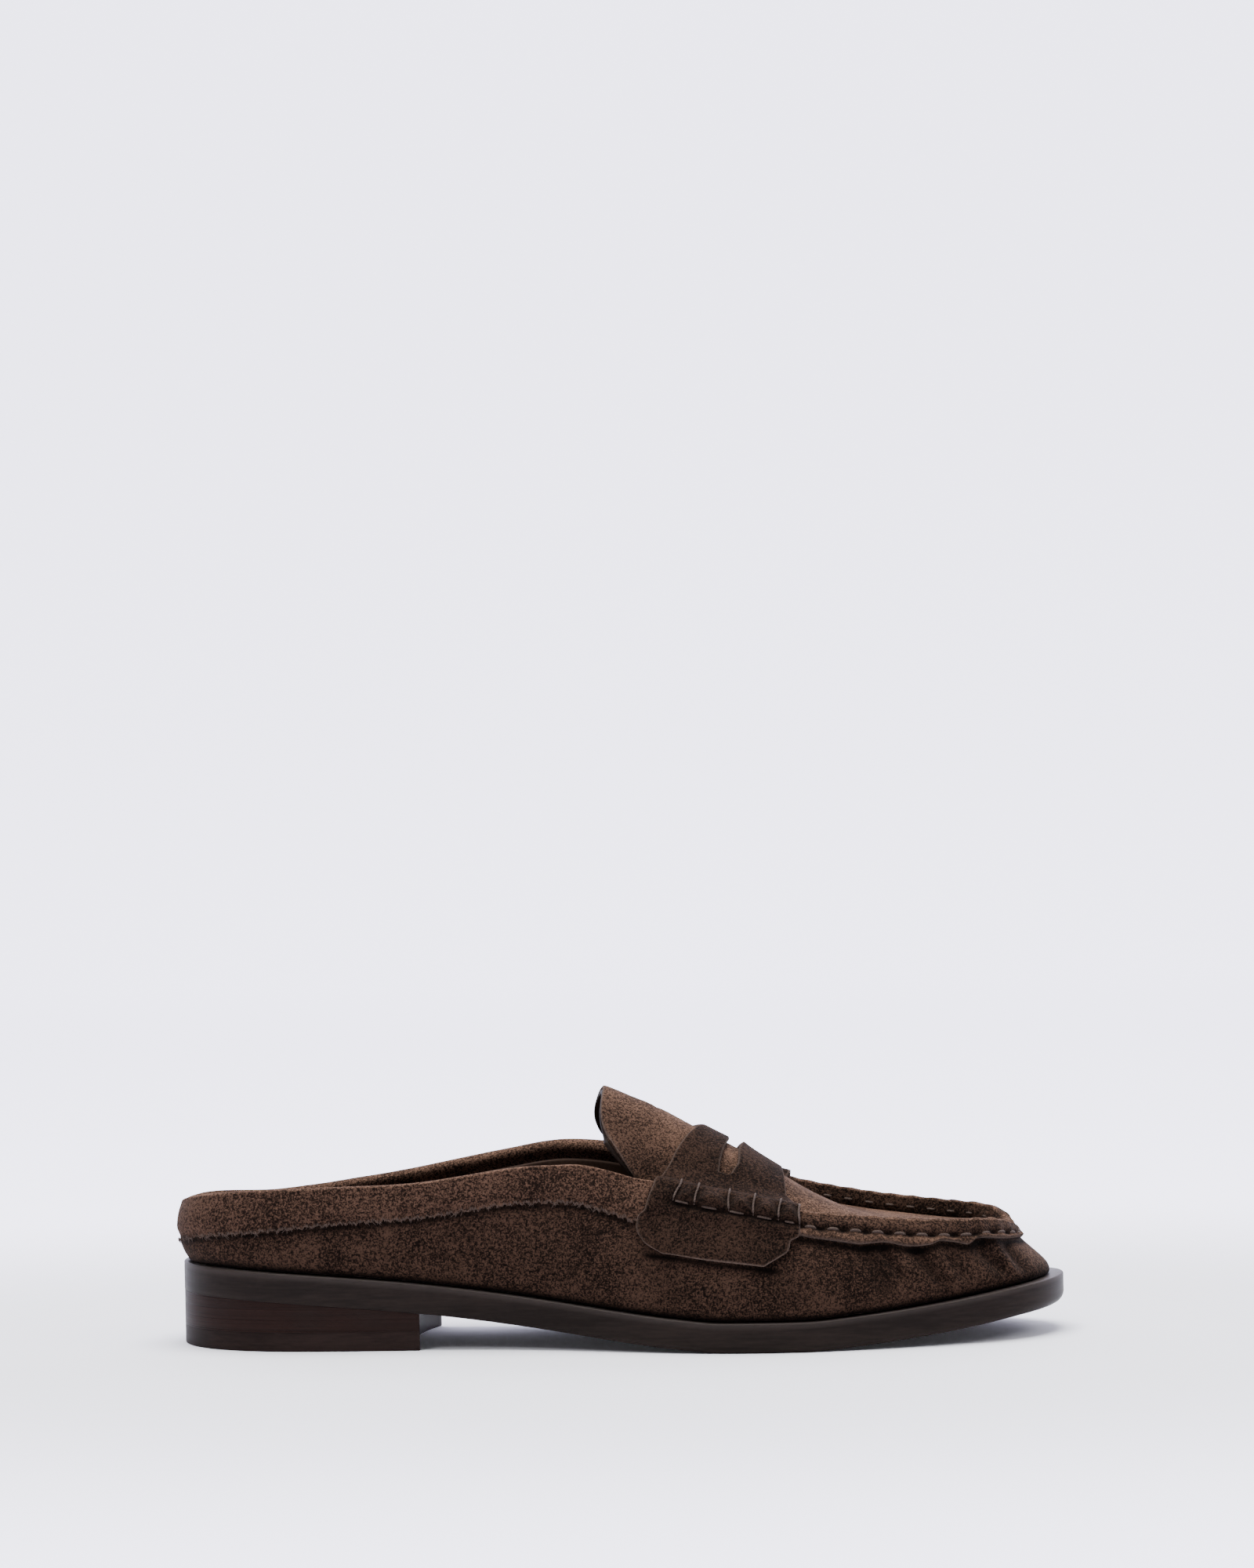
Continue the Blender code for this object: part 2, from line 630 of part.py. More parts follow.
def make_band(finish):
    """The binding: down the wall outside, over the rim, and a short turn down inside. It stops a
    clearance behind the strap's rear edge at both ends."""
    around = columns_around()
    reach = BAND_GAP / SOLE_LENGTH
    ends = {}
    lows = {}
    for side in (-1, 1):
        ends[side] = station(min(THROAT_ALONG, strap_edge("crest", "rear", side)) - reach)
        lows[side] = station(strap_edge("flap", "rear", side) - reach)
    full = around[around < lows[-1]]
    other = around[around > 2 - lows[1]]
    slant = column(BAND, BAND_COLUMNS, "slant")[:, None]
    columns = np.concatenate([other - 2, full])
    grid = np.repeat(columns[None], len(slant), axis=0)
    inner_end = -(lows[1] + (ends[1] - lows[1]) * slant)
    outer_end = lows[-1] + (ends[-1] - lows[-1]) * slant
    grid = np.concatenate([inner_end, grid, outer_end], axis=1)

    near, far = [], []
    for at, (share, side, _) in zip(grid, BAND):
        depth = share * (BAND_TURN if side < 0 else BAND_WIDTH)
        rise = rise_below(at, depth)
        outward = wall_facing(at, rise)
        place = wall(at, rise) - outward * WALL * (1 - side) / 2
        over = UP if depth == 0 else 0 * UP
        round_over = over * (BAND_ROUNDING if side else 1)
        near.append(place + (outward * side + over) * CLEARANCE)
        far.append(place + (outward * side + round_over) * (CLEARANCE + BAND_THICKNESS))
    near, far = np.stack(near, axis=1), np.stack(far, axis=1)
    return make_shell("collar_band", far, near, grid_faces(grid_index(near)), finish)


def clear_scene():
    for thing in list(bpy.data.objects):
        bpy.data.objects.remove(thing)


def main():
    clear_scene()
    group = bpy.data.collections.new(COLLECTION)
    bpy.context.scene.collection.children.link(group)
    suede = material("brown_suede", (0.085, 0.050, 0.034), 0.95)
    dark_suede = material("dark_suede", (0.060, 0.036, 0.026), 0.95)
    sole_leather = material("sole_leather", (0.060, 0.048, 0.042), 0.50)
    stacked_leather = material("stacked_leather", (0.110, 0.045, 0.028), 0.45)
    lift_rubber = material("lift_rubber", (0.050, 0.044, 0.042), 0.60)
    sock_leather = material("sock_leather", (0.050, 0.028, 0.020), 0.55)
    make_outsole(sole_leather)
    make_heel(stacked_leather, lift_rubber)
    make_insole(sock_leather)
    make_upper(suede)
    make_band(suede)
    make_strap(dark_suede)


main()
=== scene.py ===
"""The looks of a right loafer mule in brown suede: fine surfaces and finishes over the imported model,
a plain pale stage and a camera.

Metres, +Z up, +X towards the toe, +Y towards the shoe's inner side. "Around" is a place on the
shoe's outline: 0 at the back of the heel, 1 at the toe along the outer side, 2 at the heel again.
"""

import math

import bpy
import numpy as np
from mathutils import Matrix


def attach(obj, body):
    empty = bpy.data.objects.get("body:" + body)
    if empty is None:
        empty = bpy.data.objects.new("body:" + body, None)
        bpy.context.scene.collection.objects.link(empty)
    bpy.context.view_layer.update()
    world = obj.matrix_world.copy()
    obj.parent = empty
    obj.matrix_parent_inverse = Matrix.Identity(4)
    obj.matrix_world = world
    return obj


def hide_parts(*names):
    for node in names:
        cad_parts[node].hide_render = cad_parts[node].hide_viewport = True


bl_info = {
    "name": "Loafer mule",
    "version": (1, 0, 0),
    "blender": (4, 5, 0),
    "location": "3D View > Sidebar > Loafer",
    "description": "Builds the suede, leather and stitching of one loafer mule over its packed model",
    "category": "Object",
}

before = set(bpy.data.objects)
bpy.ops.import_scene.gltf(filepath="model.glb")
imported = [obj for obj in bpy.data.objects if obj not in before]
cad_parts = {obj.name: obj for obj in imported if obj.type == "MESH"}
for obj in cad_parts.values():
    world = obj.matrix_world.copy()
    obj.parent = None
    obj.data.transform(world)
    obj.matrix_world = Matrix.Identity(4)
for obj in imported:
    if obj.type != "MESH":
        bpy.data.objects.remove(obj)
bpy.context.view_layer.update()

# The shoe's own sizes, as in its model
SOLE_LENGTH = 0.264
BALL_WIDTH = 0.088
SOLE_THICKNESS = 0.0086
HEEL_RISE = 0.0161
TOE_SPRING = 0.0082
HEEL_LENGTH = 0.0745
BREAST_HOLLOW = 0.0045
LIFT_THICKNESS = 0.0056
HEEL_CENTRE = 0.034
WALL_HEIGHT = 0.040
WALL = 0.002
MARGIN_SIDE = 0.0016
MARGIN_TOE = 0.0034
CREST_WIDTH = 0.0030
GROOVE_WIDTH = 0.0010
LAYER_HEIGHT = 0.0031
GROOVE_DEPTH = 0.0028
APRON_CROWN = 0.0190
CROWN_SKEW = 0.09
TONGUE_REACH = 0.0158
TONGUE_RISE = 0.0084
TONGUE_WIDTH = 0.039
TONGUE_ARCH = 0.0145
TONGUE_SLANT = 0.0026
TONGUE_BOW = 0.0060
TONGUE_TURN = 0.0050
LOWER_PULL = 0.28
UPPER_PULL = 0.33
THROAT_ALONG = 0.546
TOE_MARGIN_STARTS = 0.76
UP = np.array([0.0, 0.0, 1.0])

# Small corrections of form that the model lacks: a deeper groove inside, and the tongue's round corners
# and fuller surface
INNER_GROOVE = 0.0016
TONGUE_CORNER = 0.0022
TONGUE_BULGE = 0.0010
THROAT_SWELL = 0.0015

# Roundings of the sole and heel, and the hair's breadth between the heel's pieces
SOLE_ROUND_TOP = 0.0006
SOLE_ROUND_LOW = 0.0009
SOLE_ROUND_TOE = 0.0021
SOLE_ROUND_HEEL = 0.0008
HEEL_ROUND = 0.00005
HEEL_GAP = 0.00003
# The wall's tuck into the sole: how deep, how far up, and how much of it the heel's back lacks
TUCK_DEPTH = 0.0011
TUCK_HEIGHT = 0.0045
TUCK_LESS = 0.0009
# The stitches' share of their pitch, and how deep the inner ones lie
STITCH_SHARE = 0.52
INNER_STITCH_DEPTH = 0.0026

# Fineness of the grids
WALL_ROWS = 66
WALL_COLUMNS = 640
LINING_COLUMNS = 400
SEAM_COLUMNS = 900
SHEET_ROWS = 150
SHEET_COLUMNS = 121
TONGUE_ROWS = 44
SOLE_COLUMNS = 720
HEEL_COLUMNS = 420
PATH_STEPS = 16
FIBRE_COUNT = 900
FIBRE_RADIUS = 0.00006

# The camera: degrees, metres from the middle of the sole, and its lens in millimetres
CAMERA_TURN = 4.0
CAMERA_ROLL = -1.2
CAMERA_ASIDE = 0.0047
CAMERA_DISTANCE = 1.25
CAMERA_HEIGHT = 0.165
CAMERA_LENS = 95.76
# The lights: name, place, size and power; the backdrop's own glow grows away from the shoe
SHOE_MIDDLE = (0.1, 0.0, 0.03)
LIGHTS = (
    ("top_light", (0.05, 0.05, 1.9), 1.5, 92),
    ("key_light", (-0.7, -1.3, 1.8), 0.9, 16),
    ("toe_light", (1.4, -0.3, 1.2), 0.8, 8),
)
WORLD_STRENGTH = 0.30
# The stage's own glow: under the shoe, on the floor round it, and on the wall behind
NEAR_GLOW = (0.02, 0.02, 0.02)
FLOOR_GLOW = (1.50, 1.45, 1.95)
WALL_GLOW = (2.60, 2.55, 3.10)
WALL_STARTS = 0.4
WALL_ENDS = 3.0

# One row for each section from the heel's back to the toe: shares of SOLE_LENGTH (along, rim_along),
# BALL_WIDTH (outer, inner, rim_outer, rim_inner, belly, shoulder), WALL_HEIGHT and APRON_CROWN.
# The last three heights lie 0.3 to 1.5 mm over the model's; all else is the same.
SECTION_COLUMNS = (
    "along", "outer", "inner", "rim_along", "rim_outer", "rim_inner",
    "high_outer", "high_inner", "belly", "shoulder", "crown",
)
SECTIONS = (
    (0.000, 0.000, 0.000, 0.004, 0.000, 0.000, 0.415, 0.415, 0.026, 0.020, 1.15),
    (0.019, -0.165, 0.160, 0.020, -0.148, 0.144, 0.460, 0.445, 0.024, 0.020, 1.15),
    (0.068, -0.286, 0.276, 0.070, -0.250, 0.242, 0.512, 0.462, 0.020, 0.018, 1.15),
    (0.159, -0.344, 0.325, 0.159, -0.296, 0.288, 0.578, 0.516, 0.022, 0.018, 1.15),
    (0.284, -0.347, 0.290, 0.284, -0.311, 0.279, 0.698, 0.715, 0.024, 0.022, 1.15),
    (0.398, -0.368, 0.280, 0.398, -0.308, 0.284, 0.900, 0.945, 0.026, 0.036, 1.15),
    (0.511, -0.445, 0.347, 0.508, -0.309, 0.298, 0.952, 1.030, 0.026, 0.078, 1.15),
    (0.606, -0.505, 0.432, 0.598, -0.341, 0.330, 0.905, 0.990, 0.028, 0.106, 0.91),
    (0.693, -0.507, 0.480, 0.685, -0.358, 0.347, 0.795, 0.875, 0.028, 0.106, 0.48),
    (0.780, -0.455, 0.475, 0.769, -0.324, 0.332, 0.683, 0.728, 0.024, 0.088, 0.10),
    (0.864, -0.372, 0.430, 0.845, -0.270, 0.301, 0.575, 0.608, 0.018, 0.062, 0.03),
    (0.932, -0.272, 0.350, 0.895, -0.205, 0.253, 0.498, 0.520, 0.010, 0.040, 0.03),
    (0.977, -0.140, 0.255, 0.926, -0.105, 0.178, 0.437, 0.455, 0.000, 0.022, 0.03),
    (1.000, 0.072, 0.072, 0.939, 0.048, 0.048, 0.365, 0.365, 0.000, 0.015, 0.00),
)

# How far the collar's rim swings up or down from its sections: share of SOLE_LENGTH, then millimetres
RIM_PLACES = (0.00, 0.03, 0.08, 0.13, 0.20, 0.28, 0.36, 0.43, 0.465, 0.50, 0.535, 0.58, 1.00)
RIM_OUTER = (0.0, 0.5, 0.9, 0.8, 0.9, 0.4, 0.1, 0.4, 1.0, 0.2, -0.8, 0.0, 0.0)
RIM_INNER = (0.0, -0.4, -0.8, 0.0, 0.9, 0.9, 0.7, 1.5, 1.3, 0.8, 0.0, 0.0, 0.0)

# The sole's rise over the floor: shares of SOLE_LENGTH, HEEL_RISE and TOE_SPRING
RISE_COLUMNS = ("along", "heel", "toe")
RISE = (
    (0.000, 1.000, 0.00),
    (0.072, 0.944, 0.00),
    (0.163, 0.845, 0.00),
    (0.250, 0.727, 0.00),
    (0.337, 0.565, 0.00),
    (0.428, 0.366, 0.00),
    (0.515, 0.168, 0.00),
    (0.570, 0.065, 0.00),
    (0.622, 0.000, 0.00),
    (0.708, 0.000, 0.00),
    (0.773, 0.000, 0.15),
    (0.860, 0.000, 0.45),
    (0.902, 0.000, 0.63),
    (0.947, 0.000, 0.83),
    (1.000, 0.000, 1.00),
)

# The strap's rear and front edges as shares of SOLE_LENGTH, from the flap's hem up to the middle;
# their places lie up to 1.7 mm from the model's
STRAP_COLUMNS = ("row", "rear", "front")
STRAP = (
    ("hem", 0.563, 0.671),
    ("corner", 0.542, 0.6845),
    ("flap", 0.534, 0.6990),
    ("lip", 0.543, 0.7045),
    ("crest", 0.548, 0.7055),
    ("inside", 0.549, 0.6945),
    ("middle", 0.600, 0.690),
)
STRAP_SLANT = 0.018
STRAP_BLUNTING = 0.35
# The strap's slot: from the middle (0) to the strap's side (1), its edges as shares of the strap there
SLOT_COLUMNS = ("across", "rear", "front")
SLOT = (
    (0.00, 0.340, 0.490),
    (0.37, 0.375, 0.508),
    (0.63, 0.398, 0.550),
    (0.74, 0.415, 0.520),
    (1.00, 0.420, 0.520),
)
SLOT_END = 0.76
# The thread loops over the strap's roll, from its top to its foot, and the long stitches along the
# foot, in millimetres from the heel's back on the outer side
LOOPS = ((151.8, 150.0), (156.9, 156.2), (165.9, 166.3), (173.3, 173.4), (180.8, 180.7), (186.2, 186.8))
LOOP_HOOK = 0.0006
FOOT_DASHES = ((150.6, 154.5), (158.3, 162.8), (166.5, 170.7), (174.5, 178.7), (182.6, 185.2))
ROLL_HEIGHT = 0.0054
FLAP_ROOT = 0.0080
STRAP_GAP = 0.0004
# Fineness of the strap's grid, and the column that its threads' ends sink along
STRAP_MIDDLE = 40
FLAP_ROWS = 66
CREST_ROWS = 9
APRON_ROWS = 96
APRON_REACH = 0.09
SLOT_AFTER = 24
SLOT_BETWEEN = 12


def column(table, names, name):
    """One named column of a table as an array."""
    return np.array([row[names.index(name)] for row in table])


def section(name):
    return column(SECTIONS, SECTION_COLUMNS, name)


def cubic(values, slope, step, index, after, part):
    """The cubic between two knots with their values and slopes, at a part of the way."""
    return (
        values[index] * (1 + 2 * part) * (1 - part) ** 2
        + values[after] * part ** 2 * (3 - 2 * part)
        + slope[index] * step[index] * part * (1 - part) ** 2
        - slope[after] * step[index] * part ** 2 * (1 - part)
    )


def closed_spline(knots, values, period, at):
    """A cubic with continuous curvature through the values at the knots, repeating after the period:
    its slopes solve the usual cyclic three-band system."""
    step = np.diff(np.append(knots, knots[0] + period))
    slope_between = np.diff(np.append(values, values[0])) / step
    before = np.roll(step, 1)
    rows = np.arange(len(knots))
    matrix = np.zeros((len(knots), len(knots)))
    matrix[rows, rows] = 2 * (step + before)
    matrix[rows, rows - 1] = step
    matrix[rows, (rows + 1) % len(knots)] = before
    right = 3 * (before * slope_between + step * np.roll(slope_between, 1))
    slope = np.linalg.solve(matrix, right)
    place = np.mod(at, period)
    index = np.searchsorted(knots, place, side="right") - 1
    after = (index + 1) % len(knots)
    part = (place - knots[index]) / step[index]
    return cubic(values, slope, step, index, after, part)


def eased(at, places, values):
    """A smooth curve through the values that never swings past them: a cubic between places, whose
    slope is the harmonic mean of its neighbours' slopes."""
    places, values = np.asarray(places, float), np.asarray(values, float)
    step = np.diff(places)
    between = np.diff(values) / step
    same = between[1:] * between[:-1] > 0
    total = np.where(same, between[1:] + between[:-1], 1)
    inside = np.where(same, 2 * between[1:] * between[:-1] / total, 0)
    slope = np.concatenate([between[:1], inside, between[-1:]])
    at = np.clip(at, places[0], places[-1])
    index = np.clip(np.searchsorted(places, at, side="right") - 1, 0, len(step) - 1)
    part = (at - places[index]) / step[index]
    return cubic(values, slope, step, index, index + 1, part)


def knots_around():
    """The sections' places around the shoe, spaced as they lie on its mean outline."""
    forward = section("along") * SOLE_LENGTH
    aside = (section("inner") - section("outer")) / 2 * BALL_WIDTH
    steps = np.hypot(np.diff(forward), np.diff(aside))
    side = np.append(0, np.cumsum(steps)) / steps.sum()
    return np.concatenate([side, 2 - side[-2:0:-1]])


def around_curve(outer, inner, around):
    """A section value read anywhere around the shoe: outer side out, inner side back."""
    values = np.concatenate([section(outer), section(inner)[-2:0:-1]])
    return closed_spline(knots_around(), values, 2, around)


def along_at(around):
    """The share of the sole's length at places around."""
    return around_curve("along", "along", around)


def by_side(around, outer, inner):
    """One of two values: the outer side's or the inner side's."""
    return np.where(np.mod(around, 2) < 1, outer, inner)


def sole_bottom(forward):
    """Height of the sole's underside over the floor: the heel's rise plus the toe spring."""
    share = np.clip((forward + HEEL_CENTRE) / SOLE_LENGTH, 0, 1)
    places, heels, toes = (column(RISE, RISE_COLUMNS, name) for name in RISE_COLUMNS)
    return eased(share, places, heels) * HEEL_RISE + eased(share, places, toes) * TOE_SPRING


def sole_top(forward):
    return SOLE_THICKNESS + sole_bottom(forward)


def plan(around):
    """The sole's outline seen from above."""
    forward = along_at(around) * SOLE_LENGTH - HEEL_CENTRE
    return np.stack([forward, around_curve("outer", "inner", around) * BALL_WIDTH], axis=-1)


def outward_of(around):
    """Unit direction out of the outline in plan, from the run of the outline turned a right angle."""
    small = 1e-4
    run = plan(around + small) - plan(around - small)
    outward = np.stack([run[..., 1], -run[..., 0]], axis=-1)
    return outward / np.linalg.norm(outward, axis=-1, keepdims=True)


def outline(around, inset=0.0):
    return plan(around) - outward_of(around) * np.asarray(inset)[..., None]


def station(along, name="along"):
    """Where around the outer side a section column has a share of the sole's length."""
    side = np.linspace(0, 1, 400)
    return np.interp(along, around_curve(name, name, side), side)


def ramp(value, start, end):
    """A smooth climb from 0 at the start to 1 at the end."""
    share = np.clip((value - start) / (end - start), 0, 1)
    return share * share * (3 - 2 * share)


def bump(value, middle, width):
    """A bell of height 1 round its middle."""
    return np.exp(-(((value - middle) / width) ** 2))


def rim_line(around):
    """The wall's upper line: the collar's rim behind the throat, the seam's crest in front of it."""
    level = sole_top(plan(around)[..., 0])
    along = along_at(around)
    outer, inner = eased(along, RIM_PLACES, RIM_OUTER), eased(along, RIM_PLACES, RIM_INNER)
    swing = by_side(around, outer, inner) / 1000
    return np.stack(
        [
            around_curve("rim_along", "rim_along", around) * SOLE_LENGTH - HEEL_CENTRE,
            around_curve("rim_outer", "rim_inner", around) * BALL_WIDTH,
            level + around_curve("high_outer", "high_inner", around) * WALL_HEIGHT + swing,
        ],
        axis=-1,
    )


def level_out(around):
    """Unit direction out of the outline, level, in three numbers."""
    outward = outward_of(around)
    return np.concatenate([outward, np.zeros_like(outward[..., :1])], axis=-1)


def run_length(line):
    """Distance along a line of points from its first."""
    return np.append(0, np.cumsum(np.linalg.norm(np.diff(line, axis=0), axis=1)))


def wall(around, rise):
    """The wall's outer face: a cubic from the feather line (rise 0), first upright and pulled out by
    the belly, then leaning in from the shoulder to the rim line (rise 1)."""
    around, rise = np.broadcast_arrays(around, rise)
    along = along_at(around)
    margin = MARGIN_SIDE + (MARGIN_TOE - MARGIN_SIDE) * ramp(along, TOE_MARGIN_STARTS, 1)
    foot = outline(around, margin)
    low = np.concatenate([foot, sole_top(foot[..., :1]) + 0.0003], axis=-1)
    high = rim_line(around)
    climb = (high - low)[..., 2:] * UP
    out = level_out(around) * BALL_WIDTH
    belly = around_curve("belly", "belly", around)[..., None]
    shoulder = around_curve("shoulder", "shoulder", around)[..., None]
    first = low + out * belly + climb * LOWER_PULL
    second = high + out * shoulder - climb * UPPER_PULL
    part = rise[..., None]
    rest = 1 - part
    return rest ** 3 * low + 3 * rest ** 2 * part * first + 3 * rest * part ** 2 * second + part ** 3 * high


def wall_facing(around, rise):
    """The wall's outward normal at any place on it."""
    small = 1e-3
    along = wall(around + small, rise) - wall(around - small, rise)
    upward = wall(around, rise + small) - wall(around, rise - small)
    normal = np.cross(along, upward)
    return normal / np.linalg.norm(normal, axis=-1, keepdims=True)


def off_wall(around, rise, off):
    """Points a distance out from the wall's face."""
    return wall(around, rise) + wall_facing(around, rise) * np.asarray(off)[..., None]


def wall_length(around):
    """The straight distance from the wall's foot to its rim."""
    return np.linalg.norm(wall(around, 1.0) - wall(around, 0.0), axis=-1)


def rise_below(around, depth):
    """The rise that lies a depth under the rim, measured along the wall."""
    return 1 - depth / wall_length(around)


def groove_line(around):
    """The bottom of the groove inside the seam."""
    deep = GROOVE_DEPTH + INNER_GROOVE * ramp(np.mod(around, 2), 1.0, 1.15)
    return rim_line(around) - level_out(around) * (CREST_WIDTH / 2 + GROOVE_WIDTH) - UP * deep[..., None]


def apron_at(around, across):
    """The apron: straight from groove to groove, crowned by a parabola. Across runs 0 to 1."""
    start = groove_line(around)
    end = groove_line(np.mod(-around, 2))
    crown = around_curve("crown", "crown", around + CROWN_SKEW * (across - 0.5))[..., None] * APRON_CROWN
    share = across[..., None]
    return start * (1 - share) + end * share + UP * crown * 4 * share * (1 - share)


# The collar band's depth under the rim outside: shares of SOLE_LENGTH, then metres
BAND_PLACES = (0.00, 0.08, 0.16, 0.26, 0.34, 0.42, 0.50, 0.54, 0.62)
BAND_DEPTHS = (0.0106, 0.0106, 0.0096, 0.0087, 0.0088, 0.0092, 0.0105, 0.0110, 0.0114)
# How deep the seam's raw lip hangs under the crest, outside and inside the foot
LIP_PLACES = (
    0.60, 0.706, 0.731, 0.757, 0.774, 0.807, 0.833, 0.860, 0.877, 0.894, 0.911, 0.930, 0.960, 1.0,
)
LIP_OUTER = (7.0, 7.1, 7.3, 7.8, 8.1, 7.1, 7.8, 7.2, 6.0, 6.3, 7.1, 5.6, 6.4, 5.8)
LIP_INNER = (7.0, 7.4, 6.8, 7.6, 7.0, 7.9, 6.9, 7.5, 6.5, 7.2, 6.2, 6.9, 5.9, 5.8)

# The lining's cut edge: how deep under the rim it lies inside, and how far it stands off the wall
LINING_EDGE = 0.0036
LINING_STEP = 0.0014

# How deep under the crest the stitches lie, then the lip's rows: shares of its depth and of its step
STITCH_DEPTH = 0.0046
LIP_SHARES = (
    1.0, 1.0, 0.985, 0.95, 0.91, 0.87, 0.83, 0.79, 0.75, 0.71, 0.67, 0.63, 0.59, 0.55, 0.51, 0.47,
    0.43, 0.38, 0.33, 0.27, 0.21, 0.14, 0.07,
)
LIP_LIFTS = (0.25, 0.75) + (1.0,) * 21
# How raw the lip's lowest rows look
LIP_CUT = (0.75, 0.6, 0.3, 0.1)

# Soft creases in the wall, read in its side view: side (-1 outer, 1 inner), the two ends as forward
# and height, half width and depth, all but side in millimetres. A negative depth is a ridge.
CREASES = (
    (-1, 172, 28, 178, 17, 2.6, 0.6),
    (-1, 177, 28, 182, 21, 1.7, 1.0),
    (-1, 180, 29, 184, 22, 1.6, -0.6),
    (-1, 186, 28, 194, 18, 1.9, 1.0),
    (-1, 190, 29, 199, 17, 1.8, -0.8),
    (-1, 196, 24, 203, 14, 2.6, 0.6),
    (-1, 205, 27, 211, 21, 1.9, 1.3),
    (-1, 209, 28, 216, 18, 1.6, -0.9),
    (-1, 213, 26, 219, 18, 1.5, 0.9),
    (-1, 142, 30, 150, 14, 5.0, 0.3),
    (-1, 108, 34, 116, 18, 6.0, 0.3),
    (1, 140, 34, 150, 16, 4.0, 0.4),
    (1, 168, 30, 178, 16, 2.6, 0.8),
    (1, 186, 27, 196, 14, 2.2, 0.9),
    (1, 191, 28, 201, 15, 2.0, -0.7),
    (1, 199, 27, 208, 15, 2.2, 0.8),
    (1, 208, 27, 215, 16, 1.8, 0.8),
)


def scaled(colour, share):
    return [c * share for c in colour]


class Socket:
    """A shader output whose arithmetic adds Math nodes to its own tree."""

    def __init__(self, finish, link):
        self.finish = finish
        self.link = link

    def maths(self, operation, *values):
        return self.finish.node("ShaderNodeMath", {"operation": operation}, values)

    def __add__(self, other):
        return self.maths("ADD", self, other)

    def __sub__(self, other):
        return self.maths("SUBTRACT", self, other)

    def __rsub__(self, other):
        return self.maths("SUBTRACT", other, self)

    def __mul__(self, other):
        return self.maths("MULTIPLY", self, other)

    __radd__ = __add__
    __rmul__ = __mul__

    def clamped(self):
        return self.finish.node("ShaderNodeClamp", {}, (self, 0.0, 1.0))

    def between(self, low, high):
        """0 below low, 1 above high, smooth between."""
        settings = {"interpolation_type": "SMOOTHSTEP", "clamp": True}
        values = {"Value": self, "From Min": low, "From Max": high}
        return self.finish.node("ShaderNodeMapRange", settings, values)


class Finish:
    """A material: its tree, its Principled shader, and short ways to add nodes."""

    def __init__(self, name, roughness):
        self.material = bpy.data.materials.new(name)
        self.material.use_nodes = True
        self.tree = self.material.node_tree
        self.shader = self.tree.nodes["Principled BSDF"]
        self.shader.inputs["Roughness"].default_value = roughness
        self.coordinates = self.node("ShaderNodeTexCoord", {}, {}, "Object")

    def node(self, kind, settings, values, output=0):
        """Adds a node, sets its settings, then its sockets by order or name, and gives one output."""
        made = self.tree.nodes.new(kind)
        for name, setting in settings.items():
            setattr(made, name, setting)
        pairs = values.items() if isinstance(values, dict) else enumerate(values)
        for key, value in pairs:
            self.put(made.inputs[key], value)
        return Socket(self, made.outputs[output])

    def put(self, socket, value):
        if isinstance(value, Socket):
            self.tree.links.new(value.link, socket)
        elif socket.type == "RGBA":
            socket.default_value = (*value, 1)
        else:
            socket.default_value = value

    def noise(self, scale, detail=3.0, roughness=0.55, distortion=0.0, stretch=(1, 1, 1)):
        """Noise in the object's own metres, with its cells stretched along the axes."""
        place = self.coordinates
        if stretch != (1, 1, 1):
            place = self.node("ShaderNodeMapping", {}, {"Vector": place, "Scale": stretch})
        values = {"Vector": place, "Scale": scale, "Detail": detail}
        values.update({"Roughness": roughness, "Distortion": distortion})
        return self.node("ShaderNodeTexNoise", {}, values)

    def mark(self, name):
        """One of the piece's own number attributes."""
        return self.node("ShaderNodeAttribute", {"attribute_name": name}, {}, "Fac")

    def blend(self, factor, first, second):
        """A mix of two colours, whose sockets are the node's seventh and eighth."""
        settings = {"data_type": "RGBA", "blend_type": "MIX", "clamp_factor": True}
        return self.node("ShaderNodeMix", settings, {0: factor, 6: first, 7: second}, 2)

    def relief(self, height, distance, strength=1.0, under=None):
        """A Bump node fed by a height, over another bump if one is given."""
        values = {"Height": height, "Distance": distance, "Strength": strength}
        if under is not None:
            values["Normal"] = under
        return self.node("ShaderNodeBump", {}, values)

    def feed(self, name, value):
        self.put(self.shader.inputs[name], value)


